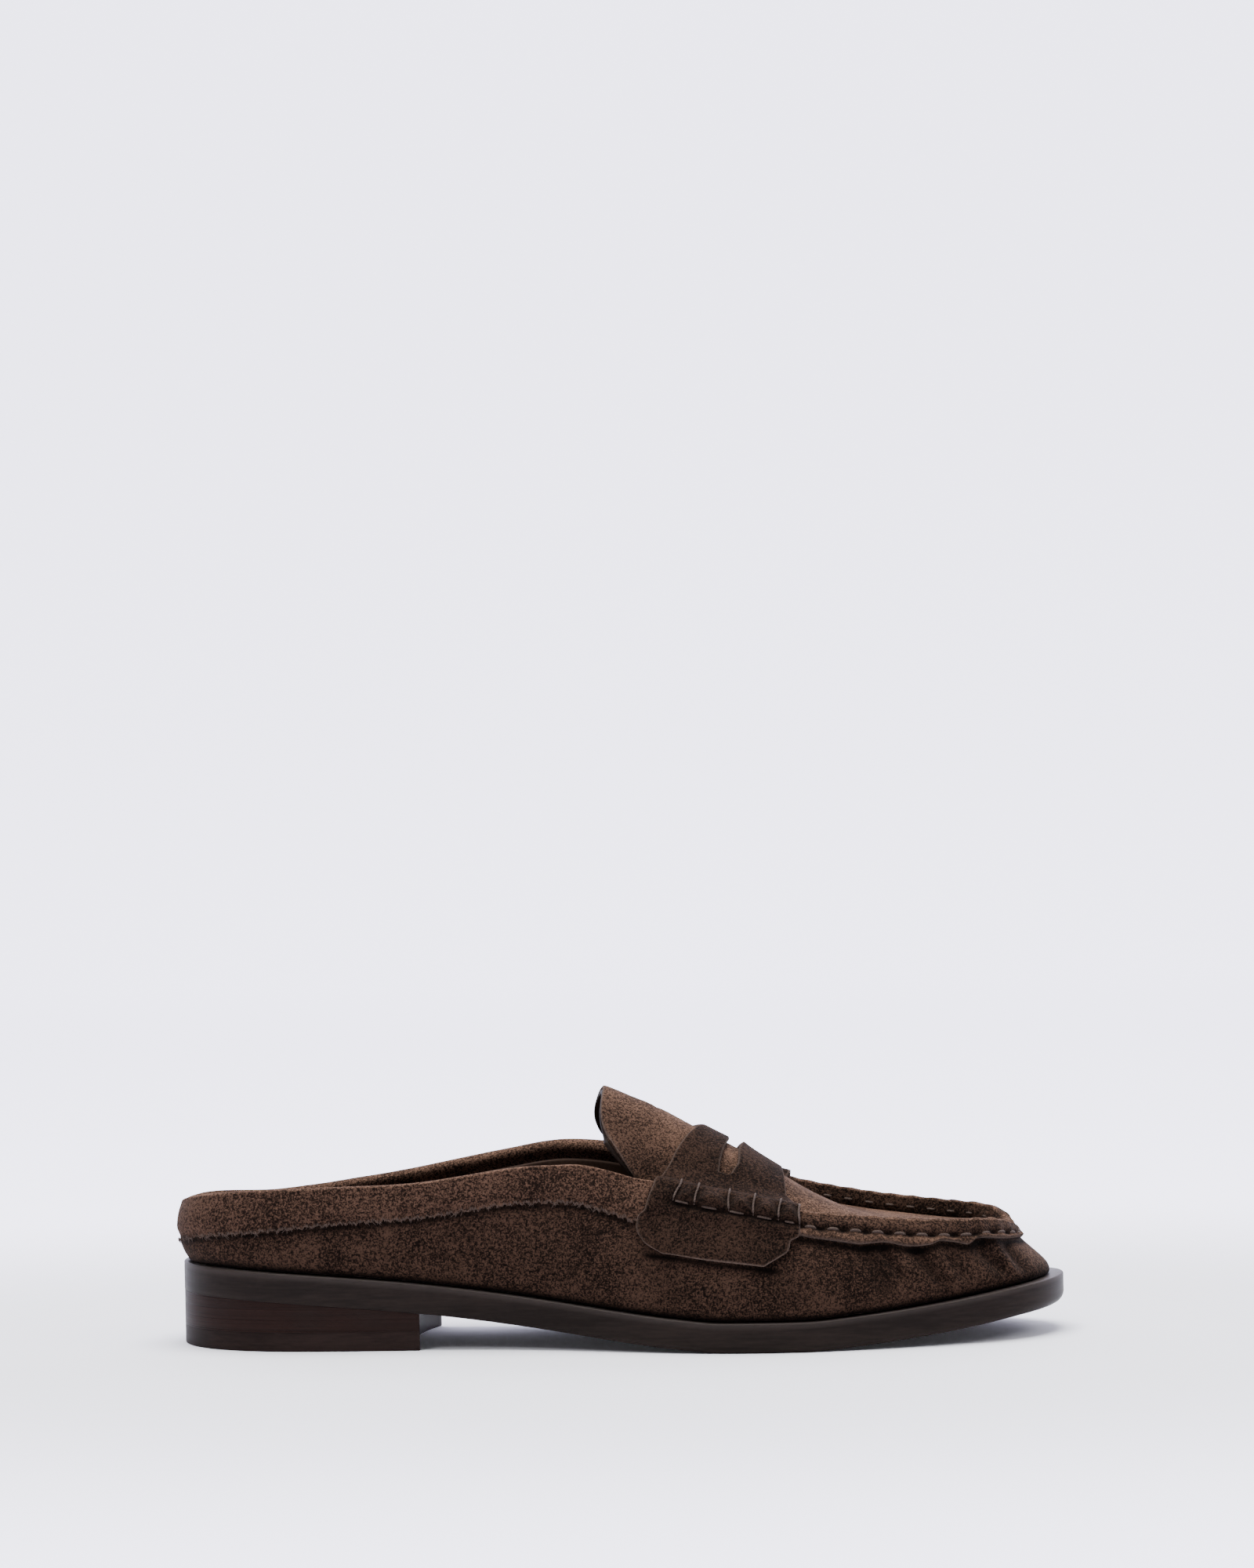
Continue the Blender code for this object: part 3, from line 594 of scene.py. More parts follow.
def suede_finish(name, colours, lightness=1.0, top_light_share=1.0):
    """Napped suede: fine fibre flecks over faint brushed patches, with painted top light, lighter where the
    surface faces up, pale where it is cut, and painted shade, dark in its folds."""
    finish = Finish(name, 0.95)
    fibre = finish.noise(2300, 2, 0.7, 0.3)
    tuft = finish.noise(1150, 1, 0.6, 0.4)
    patch = finish.noise(58, 3, 0.55, 0.6)
    deep = scaled(colours.suede_deep, lightness)
    middle = scaled(colours.suede_middle, lightness)
    light = scaled(colours.suede_painted_light, lightness)
    # Painted top light: the more a point faces up, the more its tones blend towards the light suede colour
    upward = (finish.mark("top").between(0.40, 1.08) * (0.7 + patch * 0.6) * top_light_share).clamped()
    dark = finish.blend(upward, scaled(deep, 0.55), scaled(light, 0.50))
    bright = finish.blend(upward, scaled(middle, 2.9), scaled(light, 2.9))
    grain = (fibre * 0.6 + tuft * 0.4 + patch * 0.25).between(0.515, 0.765)
    tone = finish.blend(grain, dark, bright)
    # Painted highlight: lighter where a piece marks a glow
    tone = finish.blend((finish.mark("glow") * 0.6).clamped(), tone, light)
    edge = (finish.mark("raw") * (0.35 + tuft * 0.9)).clamped()
    tone = finish.blend(edge, tone, colours.raw_edge)
    tone = finish.blend(finish.mark("shade").clamped(), tone, scaled(deep, 0.25))
    finish.feed("Base Color", tone)
    soft = finish.relief(tuft, 0.0005, 0.45)
    finish.feed("Normal", finish.relief(fibre, 0.0003, 0.6, soft))
    finish.shader.inputs["Sheen Weight"].default_value = 0.035
    finish.shader.inputs["Sheen Roughness"].default_value = 0.5
    finish.shader.inputs["Sheen Tint"].default_value = (0.75, 0.62, 0.55, 1)
    finish.shader.inputs["Specular IOR Level"].default_value = 0.03
    return finish.material


def smooth_leather(name, colour, roughness, streak=(1, 1, 1), grain=900, depth=0.00008, coat=0.0):
    """Smooth dressed leather: fine pores, faint cloudy tone, painted shade a little darker in marked folds,
    and a painted highlight where a glow is marked.
    """
    finish = Finish(name, roughness)
    cloud = finish.noise(60, 3, 0.5, 0.0, streak)
    pores = finish.noise(grain, 3, 0.6, 0.0, streak)
    clouded = (cloud * 0.6 + pores * 0.4).between(0.35, 0.68)
    tone = finish.blend(clouded, scaled(colour, 0.72), scaled(colour, 1.45))
    tone = finish.blend(finish.mark("shade").clamped(), tone, scaled(colour, 0.25))
    # Painted highlight: a much lighter tone blended in where a piece marks a glow, for light caught on an
    # edge
    painted_highlight_tone = [c * 2.6 + 0.02 for c in colour]
    tone = finish.blend((finish.mark("glow") * 0.8).clamped(), tone, painted_highlight_tone)
    finish.feed("Base Color", tone)
    finish.feed("Roughness", (roughness - 0.06) + pores * 0.14)
    finish.feed("Normal", finish.relief(pores, depth, 0.6))
    finish.shader.inputs["Coat Weight"].default_value = coat
    finish.shader.inputs["Coat Roughness"].default_value = 0.35
    finish.shader.inputs["Specular IOR Level"].default_value = 0.05
    return finish.material


def stacked_finish(name, colour, seam):
    """Stacked leather heel: thin level layers of slightly unlike browns, with a fine dark line between."""
    finish = Finish(name, 0.42)
    height = finish.node("ShaderNodeSeparateXYZ", {}, {"Vector": finish.coordinates}, "Z")
    layers = finish.noise(55, 2, 0.5, 0.0, (0.06, 0.06, 9.0))
    fibres = finish.noise(300, 3, 0.6, 0.0, (0.12, 0.12, 6.0))
    cloud = finish.noise(45, 2, 0.5)
    layered = (layers * 0.6 + fibres * 0.4).between(0.34, 0.66)
    tone = finish.blend(layered, scaled(colour, 0.55), colour)
    tone = finish.blend(cloud.between(0.45, 0.75) * 0.4, tone, seam)
    lines = (height * (1 / LAYER_HEIGHT)).maths("FRACT", height * (1 / LAYER_HEIGHT))
    line = 1 - lines.between(0.0, 0.10) * (1 - lines.between(0.92, 1.0))
    tone = finish.blend(line * 0.3, tone, scaled(colour, 0.4))
    finish.feed("Base Color", tone)
    finish.feed("Roughness", 0.36 + fibres * 0.2)
    finish.feed("Normal", finish.relief(fibres - line * 0.5, 0.00012, 0.6))
    finish.shader.inputs["Specular IOR Level"].default_value = 0.05
    finish.shader.inputs["Coat Weight"].default_value = 0.01
    finish.shader.inputs["Coat Roughness"].default_value = 0.3
    return finish.material


def thread_finish(name, colour):
    """Waxed thread: a fine twist that follows its own length."""
    finish = Finish(name, 0.7)
    place = finish.node("ShaderNodeUVMap", {"uv_map": "UVMap"}, {}, "UV")
    values = {"Vector": place, "Scale": 1.0, "Distortion": 0.5, "Detail": 1.0}
    twist = finish.node("ShaderNodeTexWave", {"bands_direction": "DIAGONAL"}, values, "Fac")
    tone = finish.blend(twist * 0.6, scaled(colour, 0.6), colour)
    finish.feed("Base Color", tone)
    finish.feed("Normal", finish.relief(twist, 0.0001, 0.6))
    finish.shader.inputs["Specular IOR Level"].default_value = 0.1
    return finish.material


def plain_finish(name, colour, roughness):
    """One colour with a very faint cloud in it."""
    finish = Finish(name, roughness)
    grain = finish.noise(40, 2, 0.5)
    finish.feed("Base Color", finish.blend(grain * 0.3, colour, scaled(colour, 0.985)))
    return finish


def grid_quads(index):
    """The quads between neighbours in a grid of vertex numbers."""
    corners = (index[:-1, :-1], index[:-1, 1:], index[1:, 1:], index[1:, :-1])
    return np.stack(corners, axis=-1).reshape(-1, 4)


def loop_faces(rows, columns, wrap):
    """Quads of a grid whose rows close on themselves, with strips over both ends unless it wraps."""
    index = np.arange(rows * columns).reshape(rows, columns)
    ring = np.concatenate([index, index[:1]])
    if wrap:
        ring = np.concatenate([ring, ring[:, :1]], axis=1)
    quads = grid_quads(ring)
    if wrap:
        return quads
    half = np.arange(rows // 2 - 1)
    cap = np.stack([half, half + 1, rows - 2 - half, rows - 1 - half], axis=-1)
    return np.concatenate([quads, index[cap, 0], index[cap[:, ::-1], columns - 1]])


def face_out(places, quads):
    """The quads, turned round if the closed surface they make holds a negative volume."""
    first = places[quads[:, 0]]
    volume = np.sum(first * np.cross(places[quads[:, 1]], places[quads[:, 2]]))
    volume += np.sum(first * np.cross(places[quads[:, 2]], places[quads[:, 3]]))
    return quads if volume > 0 else quads[:, ::-1]


def add_mesh(name, places, quads, finish, marks, replaced=(), uv=None):
    """A named piece that rides on the body, from points and quads, with number attributes."""
    mesh = bpy.data.meshes.new(name)
    mesh.vertices.add(len(places))
    mesh.vertices.foreach_set("co", np.asarray(places, np.float32).ravel())
    mesh.loops.add(quads.size)
    mesh.loops.foreach_set("vertex_index", quads.astype(np.int32).ravel())
    mesh.polygons.add(len(quads))
    mesh.polygons.foreach_set("loop_start", np.arange(len(quads), dtype=np.int32) * quads.shape[1])
    mesh.update(calc_edges=True)
    mesh.validate()
    facing_out = np.empty(len(places) * 3, np.float32)
    mesh.vertex_normals.foreach_get("vector", facing_out)
    # The top mark, how far each point faces up, drives the suede's painted top light
    marks = {**marks, "top": np.clip(facing_out[2::3], 0, 1)}
    for mark, values in marks.items():
        layer = mesh.attributes.new(mark, "FLOAT", "POINT")
        layer.data.foreach_set("value", np.asarray(values, np.float32).ravel())
    if uv is not None:
        layer = mesh.uv_layers.new(name="UVMap")
        layer.data.foreach_set("uv", np.asarray(uv, np.float32)[quads.ravel()].ravel())
    mesh.shade_smooth()
    mesh.materials.append(finish)
    piece = bpy.data.objects.new(name, mesh)
    bpy.context.scene.collection.objects.link(piece)
    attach(piece, "root")
    if replaced:
        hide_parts(*replaced)
    return piece


def add_loop(name, rows, finish, wrap=False, marks=None, replaced=()):
    """A closed piece from a grid whose rows run once round its section."""
    places = rows.reshape(-1, 3)
    quads = face_out(places, loop_faces(rows.shape[0], rows.shape[1], wrap))
    return add_mesh(name, places, quads, finish, marks or {}, replaced)


def facing(grid):
    """Unit normals of an open grid of points, from its two directions."""
    normal = np.cross(np.gradient(grid, axis=0), np.gradient(grid, axis=1))
    return normal / np.maximum(np.linalg.norm(normal, axis=-1, keepdims=True), 1e-12)


def spaced(count):
    """Shares from 0 to 1, closer together at both ends."""
    share = np.linspace(0, 1, count)
    return 0.55 * share + 0.45 * (1 - np.cos(math.pi * share)) / 2


def edge_round(distance, radius):
    """How thick a sheet still is near its edge, as a share: a quarter circle of the radius."""
    inside = np.clip(distance / radius, 0, 1)
    return np.maximum(np.sqrt(1 - (1 - inside) ** 2), 0.12)


def distance_along(grid, axis):
    """Each point's distance to both ends of its grid line."""
    steps = np.linalg.norm(np.diff(grid, axis=axis), axis=-1)
    run = np.cumsum(steps, axis=axis)
    start = np.insert(run, 0, 0, axis=axis)
    total = np.take(start, [-1], axis=axis)
    return start, total - start


def wall_relief(place, around):
    """Outward shift of the wall in metres: each crease is a bell across its own line in the side view,
    fading at the line's ends."""
    side = by_side(around, -1, 1)
    forward, height = place[..., 0] * 1000, place[..., 2] * 1000
    shift = np.zeros_like(forward)
    for which, x0, z0, x1, z1, width, depth in CREASES:
        length = math.hypot(x1 - x0, z1 - z0)
        run = ((forward - x0) * (x1 - x0) + (height - z0) * (z1 - z0)) / length
        off = ((forward - x0) * (z1 - z0) - (height - z0) * (x1 - x0)) / length
        past = np.maximum(np.maximum(-run, run - length), 0)
        shift -= depth * np.exp(-((off / width) ** 2) - (past / width) ** 2) * (side == which)
    return shift / 1000


def lip_depth(around):
    """Depth of the raw lip under the crest, its own wave on each side."""
    along = along_at(around)
    outer = eased(along, LIP_PLACES, LIP_OUTER)
    inner = eased(along, LIP_PLACES, LIP_INNER)
    return by_side(around, outer, inner) / 1000


def front_run(columns, start):
    """Places around from a start on the outer side past the toe to its like on the inner side."""
    return np.linspace(start, 2 - start, columns)


# What every size and every colour of the add-on has in common
LENGTH = {"unit": "LENGTH", "precision": 5}
COLOUR = {"subtype": "COLOR"}


class LoaferSizes(bpy.types.PropertyGroup):
    suede: bpy.props.FloatProperty(
        name="Suede", description="Thickness of the upper's suede", default=0.0013, **LENGTH)
    band: bpy.props.FloatProperty(
        name="Band", description="Thickness of the collar band", default=0.0012, **LENGTH)
    strap: bpy.props.FloatProperty(
        name="Strap", description="Thickness of the saddle strap", default=0.0015, **LENGTH)
    roll: bpy.props.FloatProperty(
        name="Roll", description="How far the strap's sewn roll stands out", default=0.0021, **LENGTH)
    lip_step: bpy.props.FloatProperty(
        name="Lip", description="How far the raw lip stands off the wall", default=0.0015, **LENGTH)
    stitch_pitch: bpy.props.FloatProperty(
        name="Stitch pitch", description="Distance between seam stitches", default=0.0065, **LENGTH)
    thread: bpy.props.FloatProperty(
        name="Thread", description="Width of the seam thread", default=0.0010, **LENGTH)


class LoaferColours(bpy.types.PropertyGroup):
    suede_deep: bpy.props.FloatVectorProperty(
        name="Dark suede", description="Nap laid away", default=(0.0072, 0.0040, 0.0029), **COLOUR)
    suede_middle: bpy.props.FloatVectorProperty(
        name="Suede", description="The middle tone", default=(0.0172, 0.0096, 0.0066), **COLOUR)
    # Painted light: the colour the suede blends to where it faces up or is marked to glow
    suede_painted_light: bpy.props.FloatVectorProperty(
        name="Light suede", description="Lit fibres", default=(0.0445, 0.0255, 0.0172), **COLOUR)
    raw_edge: bpy.props.FloatVectorProperty(
        name="Raw edge", description="Cut suede", default=(0.080, 0.056, 0.044), **COLOUR)
    sole: bpy.props.FloatVectorProperty(
        name="Sole", description="Dressed edge", default=(0.0125, 0.0088, 0.0074), **COLOUR)
    heel: bpy.props.FloatVectorProperty(
        name="Heel", description="Stacked leather", default=(0.0185, 0.0088, 0.0070), **COLOUR)
    lift: bpy.props.FloatVectorProperty(
        name="Top lift", description="The wearing piece", default=(0.0150, 0.0092, 0.0080), **COLOUR)
    lining: bpy.props.FloatVectorProperty(
        name="Lining", description="Smooth leather", default=(0.060, 0.038, 0.028), **COLOUR)
    thread: bpy.props.FloatVectorProperty(
        name="Thread", description="Seam thread", default=(0.074, 0.052, 0.042), **COLOUR)
    fibre: bpy.props.FloatVectorProperty(
        name="Fibre", description="Loose suede fibre", default=(0.058, 0.037, 0.028), **COLOUR)
    floor: bpy.props.FloatVectorProperty(
        name="Floor", description="Floor and wall", default=(0.80, 0.80, 0.85), **COLOUR)


def settings_of(context):
    return context.scene.loafer_sizes, context.scene.loafer_colours


def finish_named(name, make, *values):
    """A finish that several pieces share, made once."""
    known = bpy.data.materials.get(name)
    return known or make(name, *values)


class BuildWall(bpy.types.Operator):
    """Make the suede wall round heel and foot, with its soft creases and its tuck into the sole"""

    bl_idname = "loafer.wall"
    bl_label = "Suede wall"

    def execute(self, context):
        sizes, colours = settings_of(context)
        around = np.linspace(0, 2, WALL_COLUMNS, endpoint=False)[None]
        rise = np.linspace(0, 0.995, WALL_ROWS)[:, None]
        face = wall(around, rise)
        normal = wall_facing(around, rise)
        height = face[..., 2] - sole_top(face[..., 0])
        back = bump(along_at(around), 0.0, 0.035)
        tuck = (TUCK_DEPTH - TUCK_LESS * back) * np.clip(1 - height / TUCK_HEIGHT, 0, 1) ** 2
        shift = wall_relief(face, np.broadcast_to(around, height.shape)) * ramp(height, 0.001, 0.007) - tuck
        shift = shift + 0.0009 * back * bump(height, 0.0065, 0.0045)
        outer = face + normal * shift[..., None]
        inner = (face - normal * sizes.suede)[::6]
        curl = np.linspace(0, 1, 4)[1:, None, None]
        under = outer[:1] + normal[:1] * -0.0012 * curl - UP * 0.0002 * curl
        rows = np.concatenate([under[::-1], outer, inner[::-1]])
        shade = np.clip(1 - height / 0.0022, 0, 1) * 0.75 + self.shade_under(around, rise)
        shade += np.clip(-shift / 0.0014, 0, 0.4)
        marks = {"shade": np.concatenate([np.ones((3, WALL_COLUMNS)), shade, np.zeros(inner.shape[:2])])}
        suede = finish_named("brown_suede_nap", suede_finish, colours)
        add_loop("suede_wall", rows, suede, True, marks, ("upper",))
        return {"FINISHED"}

    def shade_under(self, around, rise):
        """The dark line just under the band, the seam's lip and the strap's hem, from the depth under
        the rim at which each one ends."""
        length = wall_length(around)
        depth = (1 - rise) * length
        along = along_at(around)
        side = by_side(around, -1, 1)
        reach = along + STRAP_SLANT * (1 + side) / 2
        band = eased(along, BAND_PLACES, BAND_DEPTHS)
        hem = length - 0.64 * (length - FLAP_ROOT)
        under_strap = ramp(reach, 0.530, 0.550) * (1 - ramp(reach, 0.680, 0.695))
        under_band = 1 - ramp(reach, 0.520, 0.535)
        under_lip = ramp(reach, 0.695, 0.710)
        shade = under_band * bump(depth, band + 0.0007, 0.0009) * 0.8
        shade += under_lip * bump(depth, lip_depth(around) + 0.0008, 0.0011) * 0.85
        return shade + under_strap * bump(depth, hem + 0.0007, 0.0010) * 0.85


class BuildLining(bpy.types.Operator):
    """Make the smooth lining inside the wall and the sock on the footbed"""

    bl_idname = "loafer.lining"
    bl_label = "Lining and sock"

    def execute(self, context):
        sizes, colours = settings_of(context)
        leather = finish_named(
            "lining_leather", smooth_leather, tuple(colours.lining), 0.45, (1, 1, 1), 1100, 0.00006)
        around = np.linspace(0, 2, LINING_COLUMNS, endpoint=False)
        along = along_at(around)
        top = rise_below(around, 0.0004 + 0.0034 * ramp(along, THROAT_ALONG - 0.02, THROAT_ALONG + 0.02))
        even = np.concatenate([np.linspace(0, 0.7, 12)[:-1], np.linspace(0.7, 1, 60)])
        rise = even[:, None] * top[None]
        normal = wall_facing(around[None], rise)
        face = wall(around[None], rise)
        length = wall_length(around)
        ledge = ramp((1 - rise) * length, LINING_EDGE, LINING_EDGE + 0.0004)
        ledge = ledge * (1 - ramp(along, THROAT_ALONG - 0.03, THROAT_ALONG))
        outer = face - normal * (sizes.suede + 0.0001)
        inner = face - normal * (WALL + LINING_STEP * ledge)[..., None]
        # Painted highlight along the lining's cut edge, where its ledge faces up
        glow = bump((1 - rise) * length, LINING_EDGE + 0.0002, 0.0005) * ledge
        rows = np.concatenate([outer, inner[::-1]])
        marks = {"glow": np.concatenate([glow * 0, glow[::-1]])}
        add_loop("wall_lining", rows, leather, True, marks, ("upper",))

        share = np.linspace(0, 1, 26)[1:, None, None]
        edge = wall(around, 0.12)[:, :2] - outward_of(around) * (WALL + 0.0004)
        middle = np.column_stack([np.clip(edge[:, 0], -0.014, 0.205), np.zeros(LINING_COLUMNS)])
        flat = middle[None] + (edge - middle)[None] * share
        level = sole_top(flat[..., 0]) + 0.0033 - 0.0012 * (1 - share[..., 0] ** 4) + 0.0002
        upper_face = np.concatenate([flat, level[..., None]], axis=-1)
        lower_face = upper_face[-1:] - UP * 0.0029
        under = np.concatenate([flat[::-1], (sole_top(flat[::-1, :, 0]) + 0.0004)[..., None]], axis=-1)
        rows = np.concatenate([upper_face, lower_face, under])
        sock = finish_named(
            "sock_leather", smooth_leather, tuple(colours.lining), 0.5, (1, 1, 1), 700, 0.0001)
        add_loop("insole_sock", rows, sock, True, {}, ("insole",))
        return {"FINISHED"}


def row_lists(around):
    """Lists for a grid's rows and for how raw and shaded each is, and a function that adds to them."""
    rows, raw, shade = [], [], []

    def add(row, is_raw=0.0, is_shaded=0.0):
        rows.append(row)
        raw.append(np.broadcast_to(is_raw, around.shape))
        shade.append(np.broadcast_to(is_shaded, around.shape))

    return rows, raw, shade, add


class BuildSeam(bpy.types.Operator):
    """Make the raised seam round the apron, with its wavy raw lip outside and the groove inside"""

    bl_idname = "loafer.seam"
    bl_label = "Raised seam"

    def execute(self, context):
        sizes, colours = settings_of(context)
        around = front_run(SEAM_COLUMNS, station(0.565))
        rim = rim_line(around)
        deep = lip_depth(around)
        out = level_out(around)
        length = run_length(rim)
        puff = 0.5 - 0.5 * np.cos(2 * math.pi * length / sizes.stitch_pitch)
        wave = np.sin(2 * math.pi * length / 0.017 + 0.8) * np.sin(length / 0.021)
        rows, raw, shade, add = row_lists(around)
        for share, lift in zip(LIP_SHARES, LIP_LIFTS):
            depth = deep * share
            rise = rise_below(around, depth)
            low = ramp(share, 0.62, 1.0)
            channel = bump(depth, STITCH_DEPTH, 0.0010)
            sunk = channel * (0.0004 + 0.0007 * (1 - puff))
            off = sizes.lip_step * lift + low * (0.0006 + 0.0005 * wave) - sunk + 0.00025 * puff * (1 - low)
            cut = LIP_CUT[len(rows)] if len(rows) < len(LIP_CUT) else 0.0
            add(off_wall(around, rise, off), cut, channel * (0.35 + 0.65 * (1 - puff)))
        centre = rim - UP * 0.0005
        for angle in np.linspace(0.12, 1, 11) * math.pi:
            wide = sizes.lip_step if math.cos(angle) > 0 else CREST_WIDTH / 2
            high = (0.0010 + 0.0003 * puff) * math.sin(angle)
            add(centre + out * wide * math.cos(angle) + UP * high[:, None])
        groove = groove_line(around)
        shoulder = rows[-1]
        for share in (0.25, 0.5, 0.75, 1.0):
            bulge = out * -0.0005 * math.sin(share * math.pi) * (0.4 + puff[:, None])
            add(shoulder + (groove - UP * 0.0004 - shoulder) * share + bulge, 0.0, share * 0.5)
        add(groove + out * 0.0016 - UP * 0.0012, 0.0, 1.0)
        for share, off in ((0.5, -0.0006), (0.8, -0.0003), (0.97, 0.0001)):
            add(off_wall(around, rise_below(around, deep * share), off), 0.0, 1.0)
        marks = {"raw": np.stack(raw), "shade": np.stack(shade)}
        suede = finish_named("brown_suede_nap", suede_finish, colours)
        add_loop("seam_lip", np.stack(rows), suede, False, marks, ("upper",))
        return {"FINISHED"}


def apron_sheet(rows, tongue_rows, columns):
    """The apron and tongue as one grid: the apron straight across and crowned, then the tongue as a
    Hermite curve from the apron's own slope at the throat to its arched free edge."""
    throat = station(THROAT_ALONG)
    along = 1 - (1 - throat) * (1 - np.linspace(0, 1, rows)) ** 1.4
    along[-1] = 0.9994
    across = np.linspace(0, 1, columns)
    sheet = apron_at(along[:, None], np.broadcast_to(across, (rows, columns)))
    root = sheet[0]
    slope = apron_at(np.full(columns, throat), across) - apron_at(np.full(columns, throat + 0.004), across)
    slope /= np.linalg.norm(slope, axis=-1, keepdims=True)
    side = across * 2 - 1
    middle = root[columns // 2]
    edge = np.stack(
        [
            middle[0] - TONGUE_REACH + TONGUE_TURN * side ** 4 - TONGUE_BOW * side ** 2
            - TONGUE_SLANT * side + TONGUE_CORNER * np.abs(side) ** 8,
            middle[1] + side * TONGUE_WIDTH / 2,
            middle[2] + TONGUE_RISE - TONGUE_ARCH * side ** 2,
        ],
        axis=1,
    )
    reach = edge - root
    size = np.linalg.norm(reach, axis=1, keepdims=True)
    part = spaced(tongue_rows + 1)[::-1][:-1, None, None]
    start, end = slope * size, reach
    tongue = (
        root * (2 * part ** 3 - 3 * part ** 2 + 1)
        + edge * (3 * part ** 2 - 2 * part ** 3)
        + start * 0.6 * (part ** 3 - 2 * part ** 2 + part)
        + end * (part ** 3 - part ** 2)
    )
    swell = 4 * part * (1 - part) * (1 - 0.6 * side[:, None] ** 2) * TONGUE_BULGE
    whole = np.concatenate([tongue + UP * swell, sheet])
    past_throat = whole[..., 0] - middle[0]
    swell = bump(past_throat, 0.0, 0.006) * (1 - side ** 2) ** 2 * THROAT_SWELL
    return whole + UP * swell[..., None]


class BuildApron(bpy.types.Operator):
    """Make the sunk apron with its tongue, and the lining under them"""

    bl_idname = "loafer.apron"
    bl_label = "Apron and tongue"

    def execute(self, context):
        sizes, colours = settings_of(context)
        sheet = apron_sheet(SHEET_ROWS, TONGUE_ROWS, SHEET_COLUMNS)
        normal = facing(sheet)
        normal *= np.sign(np.sum(normal[..., 2]))
        normal[-3:] = normal[-4]
        to_tip = distance_along(sheet, 0)[0]
        left, right = distance_along(sheet, 1)
        tongue = np.arange(len(sheet))[:, None] < TONGUE_ROWS
        edge = np.where(tongue, np.minimum(np.minimum(left, right), to_tip), to_tip)
        full = edge_round(edge, 0.0006)[..., None]
        top = sheet - normal * sizes.suede * (1 - full) / 2
        low = sheet - normal * sizes.suede * (1 + full) / 2
        raw = np.clip(1.3 - edge / 0.0005, 0, 1) * (to_tip < 0.03)
        rows = np.concatenate([top, low[::-1]])
        marks = {"raw": np.concatenate([raw, raw[::-1] * 0.15])}
        suede = finish_named("brown_suede_nap", suede_finish, colours)
        add_loop("apron_and_tongue", rows, suede, False, marks, ("upper",))

        trim = np.where(tongue[..., None], 0.0006, 0.0)
        soft = edge_round(edge, 0.0004)[..., None]
        top = sheet - normal * (sizes.suede + 0.00005 + 0.0009 * (1 - soft) / 2)
        low = sheet - normal * (sizes.suede + 0.00005 + 0.0009 * (1 + soft) / 2 + trim)
        # Painted shade: the lining under the apron and tongue is the lining colour at a fifth, darkened for
        # the shade beneath them
        shaded = tuple(c * 0.2 for c in colours.lining)
        leather = finish_named("shaded_leather", smooth_leather, shaded, 0.6, (1, 1, 1), 1100, 0.00006)
        rows = np.concatenate([top, low[::-1]])
        add_loop("apron_lining", rows, leather, False, {}, ("upper",))
        return {"FINISHED"}


def strap_edge(row, edge, side):
    """A strap edge's place along the shoe: side is -1 at its outer end, 0 in the middle, 1 at the inner."""
    line = next(line for line in STRAP if line[0] == row)
    return line[STRAP_COLUMNS.index(edge)] - STRAP_SLANT * (1 + side) / 2


def strap_line(side, edge, level):
    """A strap edge's place along the shoe at a level of its flap: 0 hem, 1 corner, 2 flap, 3 lip, 4 crest,
    5 inside."""
    places = [strap_edge(row[0], edge, side) for row in STRAP[:-1]]
    return eased(level, np.arange(len(places)), places)


def flap_lines(side, part, lip_step):
    """The face under the strap on one side of the shoe, from the hem up the wall, out over the seam's lip,
    over its crest as half a ring, and down inside it. Each line runs from the rear to the front edge."""
    lines = []
    for level in np.linspace(0, 4, FLAP_ROWS):
        rear, front = strap_line(side, "rear", level), strap_line(side, "front", level)
        name = "along" if level < 2.5 else "rim_along"
        at = np.mod(-side * station(rear + (front - rear) * part, name), 2)
        root = rise_below(at, FLAP_ROOT)
        below = np.interp(level, (0, 1, 2, 2.5, 4), (0.64, 0.73, 0.85, 1, 0))
        above = np.interp(level, (2.5, 4), (0, 1))
        rise = root * below + above
        lift = lip_step * ramp(level, 2.3, 3.0)
        lines.append(off_wall(at, rise, lift))
    out = level_out(at)
    for angle in np.linspace(0.15, 1, CREST_ROWS) * math.pi:
        wide = lip_step if math.cos(angle) > 0 else CREST_WIDTH / 2
        lines.append(rim_line(at) + out * wide * math.cos(angle) + UP * 0.0007 * math.sin(angle))
    return lines


def apron_line(share, part):
    """A line of the apron under the strap, from the strap's rear to its front edge."""
    side = 2 * share - 1
    edges = []
    for edge in ("rear", "front"):
        middle, end = strap_edge("middle", edge, side), strap_edge("inside", edge, side)
        bend = side ** 2 * (1 + STRAP_BLUNTING) / (abs(side) + STRAP_BLUNTING)
        edges.append(middle + (end - middle) * bend)
    at = station(edges[0] + (edges[1] - edges[0]) * part, "rim_along")
    return apron_at(at, np.full_like(at, share))


def slot_parts(share):
    """Shares along the strap at a place across it, crowded to the slot's two curved edges."""
    aside = abs(2 * share - 1)
    places, rears, fronts = (column(SLOT, SLOT_COLUMNS, name) for name in SLOT_COLUMNS)
    rear, front = eased(aside, places, rears), eased(aside, places, fronts)
    between = rear + (front - rear) * np.linspace(0, 1, SLOT_BETWEEN + 2)[1:-1]
    return np.concatenate([spaced(SLOT_AFTER) * rear, between, front + (1 - front) * spaced(40)])


